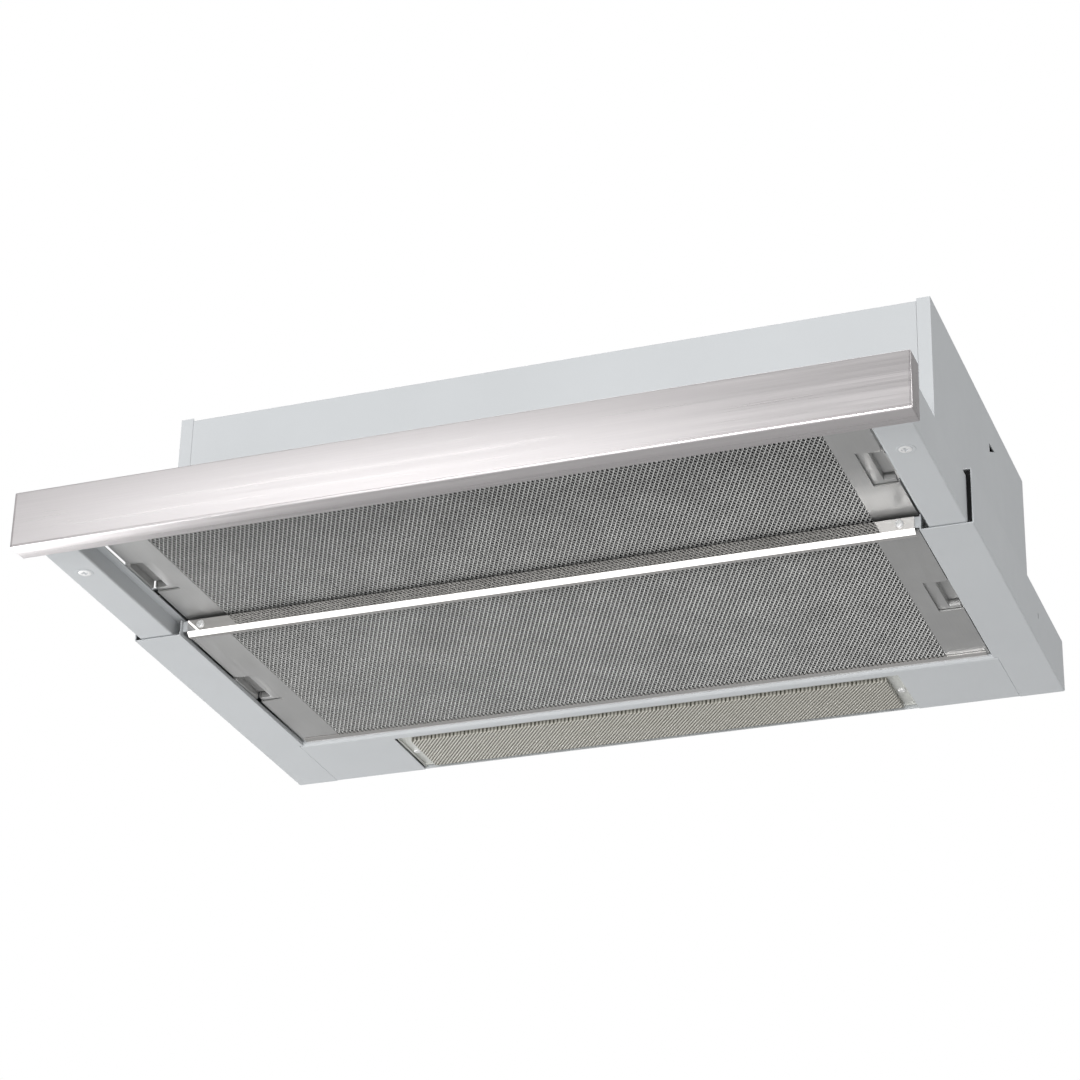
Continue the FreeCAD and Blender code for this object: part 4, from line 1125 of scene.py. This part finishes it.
@dataclass
class LampCover:
    """Prismatic lamp cover with a rim and two clear end tabs."""

    shop: Workshop
    end_tab: float = 9.8 * MM
    front_rim: float = 7.5 * MM
    rear_rim: float = 5.0 * MM
    wall: float = 1.5 * MM
    prism_long: float = 2.1 * MM
    prism_wide: float = 1.7 * MM
    prism_depth: float = 0.11 * MM
    label_length: float = 58.0 * MM
    label_width: float = 10.0 * MM
    label_rim: float = 0.7 * MM
    label_dish: float = 0.25 * MM
    panel_round: float = 0.5 * MM
    panel_frame: float = 0.9 * MM
    prism_margin: float = 1.5 * MM
    rib_in: float = 4.0 * MM
    rib_reach: float = 3.6 * MM
    rib_half: float = 0.5 * MM
    rib_drop: float = 0.9 * MM
    end_half: float = 0.6 * MM
    end_drop: float = 1.6 * MM

    def build(self) -> None:
        """Model the rim, the raised panel, its prisms and the blank label."""
        low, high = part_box("lamp_cover")
        panel_low = Vector((low.x + self.end_tab, low.y + self.front_rim, low.z))
        panel_high = Vector((high.x - self.end_tab, high.y - self.rear_rim, high.z))
        rim = self.make_rim(low, high, panel_low, panel_high)
        self.shop.place(rim, "lens_rim", "housing", "lamp_lens", ["lamp_cover"])
        panel = self.make_panel(panel_low, panel_high)
        self.shop.place(panel, "lens", "housing", "lamp_lens")
        prisms = self.make_prisms(panel_low, panel_high)
        self.shop.place(prisms, "lens", "housing", "lamp_lens", smooth=5.0)

    def make_rim(self, low: Vector, high: Vector, inner_low: Vector, inner_high: Vector) -> Piece:
        """Make the flat rim, with two ribs and an end wall on each tab.

        Args:
            low: Lowest corner of the cover.
            high: Highest corner of the cover.
            inner_low: Lowest corner of the panel.
            inner_high: Highest corner of the panel.

        Returns:
            The rim.
        """
        under, within = high.z - self.wall, high.z - self.wall / 2
        rim = Bench.block("lamp_cover_rim", (low.x, low.y, under), high)
        Bench.bevel(rim, 0.3 * MM, 2)
        window = Bench.block("window", inner_low, inner_high + Vector((0, 0, self.wall)))
        Bench.carve(rim, window)
        ribs = [rim]
        for sign in (1, -1):
            for y in (low.y + self.rib_in, high.y - self.rib_in):
                x = sign * (high.x - self.end_tab / 2)
                rib = Bench.block("tab_rib", (x - self.rib_reach, y - self.rib_half, under - self.rib_drop),
                                  (x + self.rib_reach, y + self.rib_half, within))
                Bench.bevel(rib, 0.2 * MM, 1)
                ribs.append(rib)
            edge = sign * (high.x - self.end_half)
            wall = Bench.block("tab_wall", (edge - self.end_half, low.y + MM, under - self.end_drop),
                               (edge + self.end_half, high.y - MM, within))
            Bench.bevel(wall, 0.25 * MM, 2)
            ribs.append(wall)
        return Bench.join("lamp_cover_rim", ribs)

    def make_panel(self, low: Vector, high: Vector) -> Piece:
        """Make the raised panel with a frame round its prisms and a blank label.

        Args:
            low: Lowest corner of the panel.
            high: Highest corner of the panel.

        Returns:
            The panel.
        """
        panel = Bench.block("lamp_panel", low, high)
        Bench.dish(panel, faces_up, self.wall, low.z - high.z + self.wall)
        Bench.bevel(panel, self.panel_round, 3)
        Bench.dish(panel, lambda at, normal: normal.z < -0.99 and at.z < low.z + 0.1 * MM,
                   self.panel_frame, self.prism_depth)
        centre = (low + high) / 2
        plate = Bench.rod("label", self.label_width / 2, (centre.x, centre.y, low.z + 0.02 * MM),
                          self.prism_depth * 2, Axis.Z, 40)
        half = (self.label_length - self.label_width) / 2
        for sign in (1, -1):
            Bench.only(plate)
            bpy.ops.object.mode_set(mode="EDIT")
            bpy.ops.mesh.select_mode(type="VERT")
            mesh = bmesh.from_edit_mesh(plate.data)
            for vertex in mesh.verts:
                vertex.select_set((vertex.co.x - centre.x) * sign > 0.01 * MM)
            bmesh.update_edit_mesh(plate.data)
            bpy.ops.transform.translate(value=(sign * half, 0, 0))
            Bench.leave()
        Bench.dish(plate, faces_down, self.label_rim, self.label_dish)
        return Bench.join("lamp_panel", [panel, plate])

    def make_prisms(self, low: Vector, high: Vector) -> Piece:
        """Cover the panel with shallow prisms, left off round the label.

        Args:
            low: Lowest corner of the panel.
            high: Highest corner of the panel.

        Returns:
            The prisms, as one sheet of closed pyramids.
        """
        left, right = low.x + self.prism_margin, high.x - self.prism_margin
        front, back = low.y + self.prism_margin, high.y - self.prism_margin
        columns = int((right - left) / self.prism_long)
        rows = int((back - front) / self.prism_wide)
        width, depth = (right - left) / columns, (back - front) / rows
        bpy.ops.object.select_all(action="DESELECT")
        bpy.ops.mesh.primitive_cone_add(vertices=4, radius1=0.5, radius2=0.0, depth=1.0)
        prism = bpy.context.object
        prism.scale = (width * 0.98, depth * 0.98, -self.prism_depth)
        prism.location = (left + width / 2, front + depth / 2, low.z + self.prism_depth * 0.55)
        prism = Bench.settle("lamp_prisms")
        Bench.outwards(prism)
        half = Bench.copy(prism, "prism_half", (width / 2, depth / 2, 0))
        pair = Bench.join("lamp_prisms", [prism, half])
        Bench.row(pair, rows, Axis.Y, depth)
        Bench.row(pair, columns, Axis.X, width)
        centre = (low + high) / 2
        keep_x = self.label_length / 2 + MM
        keep_y = self.label_width / 2 + MM

        def stray(at: Vector, normal: Vector) -> bool:
            """Tell whether a face lies under the label or past the panel's edge."""
            on_label = abs(at.x - centre.x) < keep_x and abs(at.y - centre.y) < keep_y
            return on_label or at.x > right or at.y > back

        Bench.edit(pair, stray)
        bpy.ops.mesh.select_linked(delimit=set())
        bpy.ops.mesh.delete(type="FACE")
        Bench.leave()
        return pair


@dataclass
class Controls:
    """Knobs on the control housing."""

    shop: Workshop
    grip: float = 0.35 * MM
    grip_pitch: float = 1.1 * MM
    grip_in: float = 1.2 * MM
    grip_depth: float = 0.8 * MM
    cap_height: float = 2.9 * MM
    rim: float = 0.8 * MM
    hollow: float = 0.5 * MM
    neck_in_x: float = 2.0 * MM
    neck_in_y: float = 2.3 * MM

    def build(self) -> None:
        """Model both knobs, with ribs on their tops."""
        for node, body in (("fan_speed_knob", "fan_knob"), ("lamp_knob", "light_knob")):
            low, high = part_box(node)
            cap_low = high.z - self.cap_height
            cap = Bench.block("cap", (low.x, low.y, cap_low), high)
            Bench.dish(cap, faces_up, self.rim, -self.hollow)
            Bench.bevel(cap, 0.4 * MM, 3)
            neck = Bench.block("neck", (low.x + self.neck_in_x, low.y + self.neck_in_y, low.z),
                               (high.x - self.neck_in_x, high.y - self.neck_in_y, cap_low + 0.3 * MM))
            Bench.bevel(neck, 0.2 * MM, 1)
            ribs = []
            for step in range(-2, 3):
                x = (low.x + high.x) / 2 + step * self.grip_pitch
                start = (x - self.grip / 2, low.y + self.grip_in, high.z - self.grip_depth)
                rib = Bench.block("rib", start, (x + self.grip / 2, high.y - self.grip_in, high.z))
                Bench.bevel(rib, 0.12 * MM, 2)
                ribs.append(rib)
            knob = Bench.join(f"{node}_cap", [cap, neck, *ribs])
            self.shop.place(knob, "knob", body, "knob_plastic", [node])


@dataclass
class SlotShadeStrip:
    """Painted shade: near-black strips round each drawer side, just inside the canopy, standing for the
    shade in the gap.
    """

    shop: Workshop
    depth: float = 5.0 * MM
    clear: float = 0.35 * MM
    inset: float = 1.2 * MM
    strip_round: float = 0.4 * MM
    sheet: float = 1.0 * MM

    def build(self) -> None:
        """Make the right-hand strip, and mirror it for the left."""
        panel_low, panel_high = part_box("side_panel_right")
        drawer_low, drawer_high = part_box("drawer_side_right")
        sheet, front = self.sheet, panel_low.y + self.inset
        foot = panel_low.z + 1.4 * sheet
        upright = Bench.block("seal_upright", (drawer_high.x + self.clear, front, foot),
                              (panel_high.x - sheet, front + self.depth, -1.2 * sheet))
        across = Bench.block("seal_across", (drawer_low.x + 6 * sheet, front, drawer_high.z + self.clear),
                             (drawer_high.x + 2 * self.clear, front + self.depth, -1.2 * sheet))
        for strip in (upright, across):
            Bench.bevel(strip, self.strip_round, 2)
        right = Bench.join("draught_seal_right", [upright, across])
        left = Bench.mirror(right, "draught_seal_left", Axis.X)
        for shade_strip in (right, left):
            self.shop.place(shade_strip, "shade_black", "housing", "dark_plastic")


@dataclass
class CableEntry:
    """Hexagonal cable gland on the roof."""

    shop: Workshop
    nut_drop: float = 5.5 * MM
    nut_height: float = 3.0 * MM
    cap_height: float = 2.6 * MM
    bore: float = 4.0 * MM

    def build(self) -> None:
        """Model the gland's hexagon, domed cap and bore."""
        low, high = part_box("cable_gland")
        centre = (low + high) / 2
        outer = (high.x - low.x) / 2
        x, y = centre.x, centre.y
        nut = Bench.rod("cable_gland_nut", outer, (x, y, high.z - self.nut_drop), self.nut_height,
                        Axis.Z, 6)
        Bench.bevel(nut, 0.4 * MM, 2)
        cap = Bench.rod("cap", outer * 0.8, (x, y, high.z - self.cap_height), self.cap_height, Axis.Z, 40)
        Bench.bevel(cap, 0.9 * MM, 4)
        height = high.z - low.z
        stem = Bench.rod("stem", outer * 0.714, (x, y, low.z), height - 4 * MM, Axis.Z, 40)
        Bench.bevel(stem, 0.3 * MM, 2)
        for part in (nut, cap, stem):
            Bench.carve(part, Bench.rod("bore", self.bore, (x, y, low.z - MM), height + 2 * MM, Axis.Z, 32))
        gland = Bench.join("cable_gland_nut", [nut, cap, stem])
        self.shop.place(gland, "dark_plastic", "housing", "dark_plastic", ["cable_gland"])


@dataclass
class Studio:
    """Floor, lights and camera."""

    camera_at: Tuple[float, float, float] = (0.6736, -1.8804, -0.9403)
    azimuth: float = 21.058
    elevation: float = 26.569
    roll: float = 1.416
    lens: float = 104.226
    floor_level: float = -2.6
    floor_size: float = 24.0

    def build(self) -> None:
        """Set the studio up round the hood."""
        self.make_floor()
        self.make_world()
        self.make_lights()
        self.make_camera()

    def make_floor(self) -> None:
        """Lay a plain pale floor far below the hood."""
        bpy.ops.object.select_all(action="DESELECT")
        bpy.ops.mesh.primitive_plane_add(size=self.floor_size, location=(0, 0, self.floor_level))
        floor = Bench.settle("floor")
        graph = Graph("pale_floor")
        tone = graph.noise(3.0, 2.0)
        graph.feed("Base Color", graph.ramp(tone, (0.84, 0.84, 0.84), (0.87, 0.87, 0.87)))
        graph.fix(Roughness=0.8)
        floor.data.materials.append(graph.material)

    def make_world(self) -> None:
        """Light the room softly, brighter from the left."""
        world = bpy.data.worlds.new("studio")
        bpy.context.scene.world = world
        world.use_nodes = True
        tree = world.node_tree
        tree.nodes.clear()
        kinds = ("OutputWorld", "Background", "Background", "MixShader", "LightPath", "TexCoord",
                 "SeparateXYZ", "MapRange")
        output, room, white, mix, path, coords, split, ramp = (
            tree.nodes.new(f"ShaderNode{kind}") for kind in kinds)
        for name, value in (("From Min", -1.0), ("From Max", 1.0), ("To Min", 0.46), ("To Max", 0.22)):
            ramp.inputs[name].default_value = value
        white.inputs["Color"].default_value = (1, 1, 1, 1)
        for start, end in ((coords.outputs["Generated"], split.inputs[0]),
                           (split.outputs["X"], ramp.inputs["Value"]),
                           (ramp.outputs["Result"], room.inputs["Color"]),
                           (path.outputs["Is Camera Ray"], mix.inputs["Fac"]),
                           (room.outputs[0], mix.inputs[1]), (white.outputs[0], mix.inputs[2]),
                           (mix.outputs[0], output.inputs["Surface"])):
            tree.links.new(start, end)

    def make_lights(self) -> None:
        """Hang the key and its helper below, soft boxes before and beside, and a top light."""
        self.area("key", (-1.6, 0.6, -1.15), (-0.1, 0, 0), 0.9, 17.0)
        self.area("helper", (-0.5, -0.9, -1.4), (0, -0.13, 0), 1.0, 4.6)
        self.area("front_glow", (-0.98, -2.3, 1.17), (-0.1, -0.3, 0), 0.8, 3.0)
        self.area("front", (0.0, -3.2, -0.3), (0, -0.2, 0.05), 1.5, 72.0)
        self.area("fill", (2.4, -0.5, 0.5), (0.25, 0, 0), 1.4, 21.0)
        self.area("top", (-0.4, 0.8, 2.4), (0, 0, 0), 2.2, 18.0)

    def area(self, name: str, place: Sequence[float], target: Sequence[float], size: float,
             power: float) -> None:
        """Add a square light that faces a target.

        Args:
            name: The light's name.
            place: Where it hangs.
            target: What it faces.
            size: Length of its side.
            power: Its power, in watts.
        """
        data = bpy.data.lights.new(name, "AREA")
        data.size = size
        data.energy = power
        light = bpy.data.objects.new(name, data)
        light.location = place
        light.rotation_euler = (Vector(target) - Vector(place)).to_track_quat("-Z", "Y").to_euler()
        bpy.context.scene.collection.objects.link(light)

    def make_camera(self) -> None:
        """Set the camera below the hood, to its right."""
        azimuth, elevation, roll = (math.radians(a) for a in (self.azimuth, self.elevation, self.roll))
        forward = Vector((-math.sin(azimuth) * math.cos(elevation), math.cos(azimuth) * math.cos(elevation),
                          math.sin(elevation)))
        right = forward.cross(Vector((0, 0, 1))).normalized()
        up = right.cross(forward)
        tilted = right * math.cos(roll) + up * math.sin(roll)
        upright = up * math.cos(roll) - right * math.sin(roll)
        data = bpy.data.cameras.new("camera")
        data.lens = self.lens
        data.sensor_width = 36.0
        data.clip_start = 0.01
        data.clip_end = 100.0
        camera = bpy.data.objects.new("camera", data)
        camera.matrix_world = Matrix.Translation(self.camera_at) @ Matrix(
            (tilted, upright, -forward)).transposed().to_4x4()
        bpy.context.scene.collection.objects.link(camera)
        bpy.context.scene.camera = camera
        bpy.context.scene.view_settings.view_transform = "Standard"


def main() -> None:
    """Build every sub-assembly in order."""
    logging.basicConfig(level=logging.INFO)
    shop = Workshop(Finishes())
    CadDress(shop).dress()
    sub_assemblies: List[object] = [
        FilterCassette(shop, "front", "drawer"),
        FilterCassette(shop, "rear", "housing"),
        FrontBar(shop),
        LampCover(shop),
        Screws(shop),
        Controls(shop),
        CableEntry(shop),
        SlotShadeStrip(shop),
    ]
    for filter_name in ("front", "rear"):
        for side in Side:
            sub_assemblies.append(Latch(shop, filter_name, side))
    for sub_assembly in sub_assemblies:
        sub_assembly.build()
        LOG.info("built %s", type(sub_assembly).__name__)
    Studio().build()


if __name__ == "__main__":
    main()
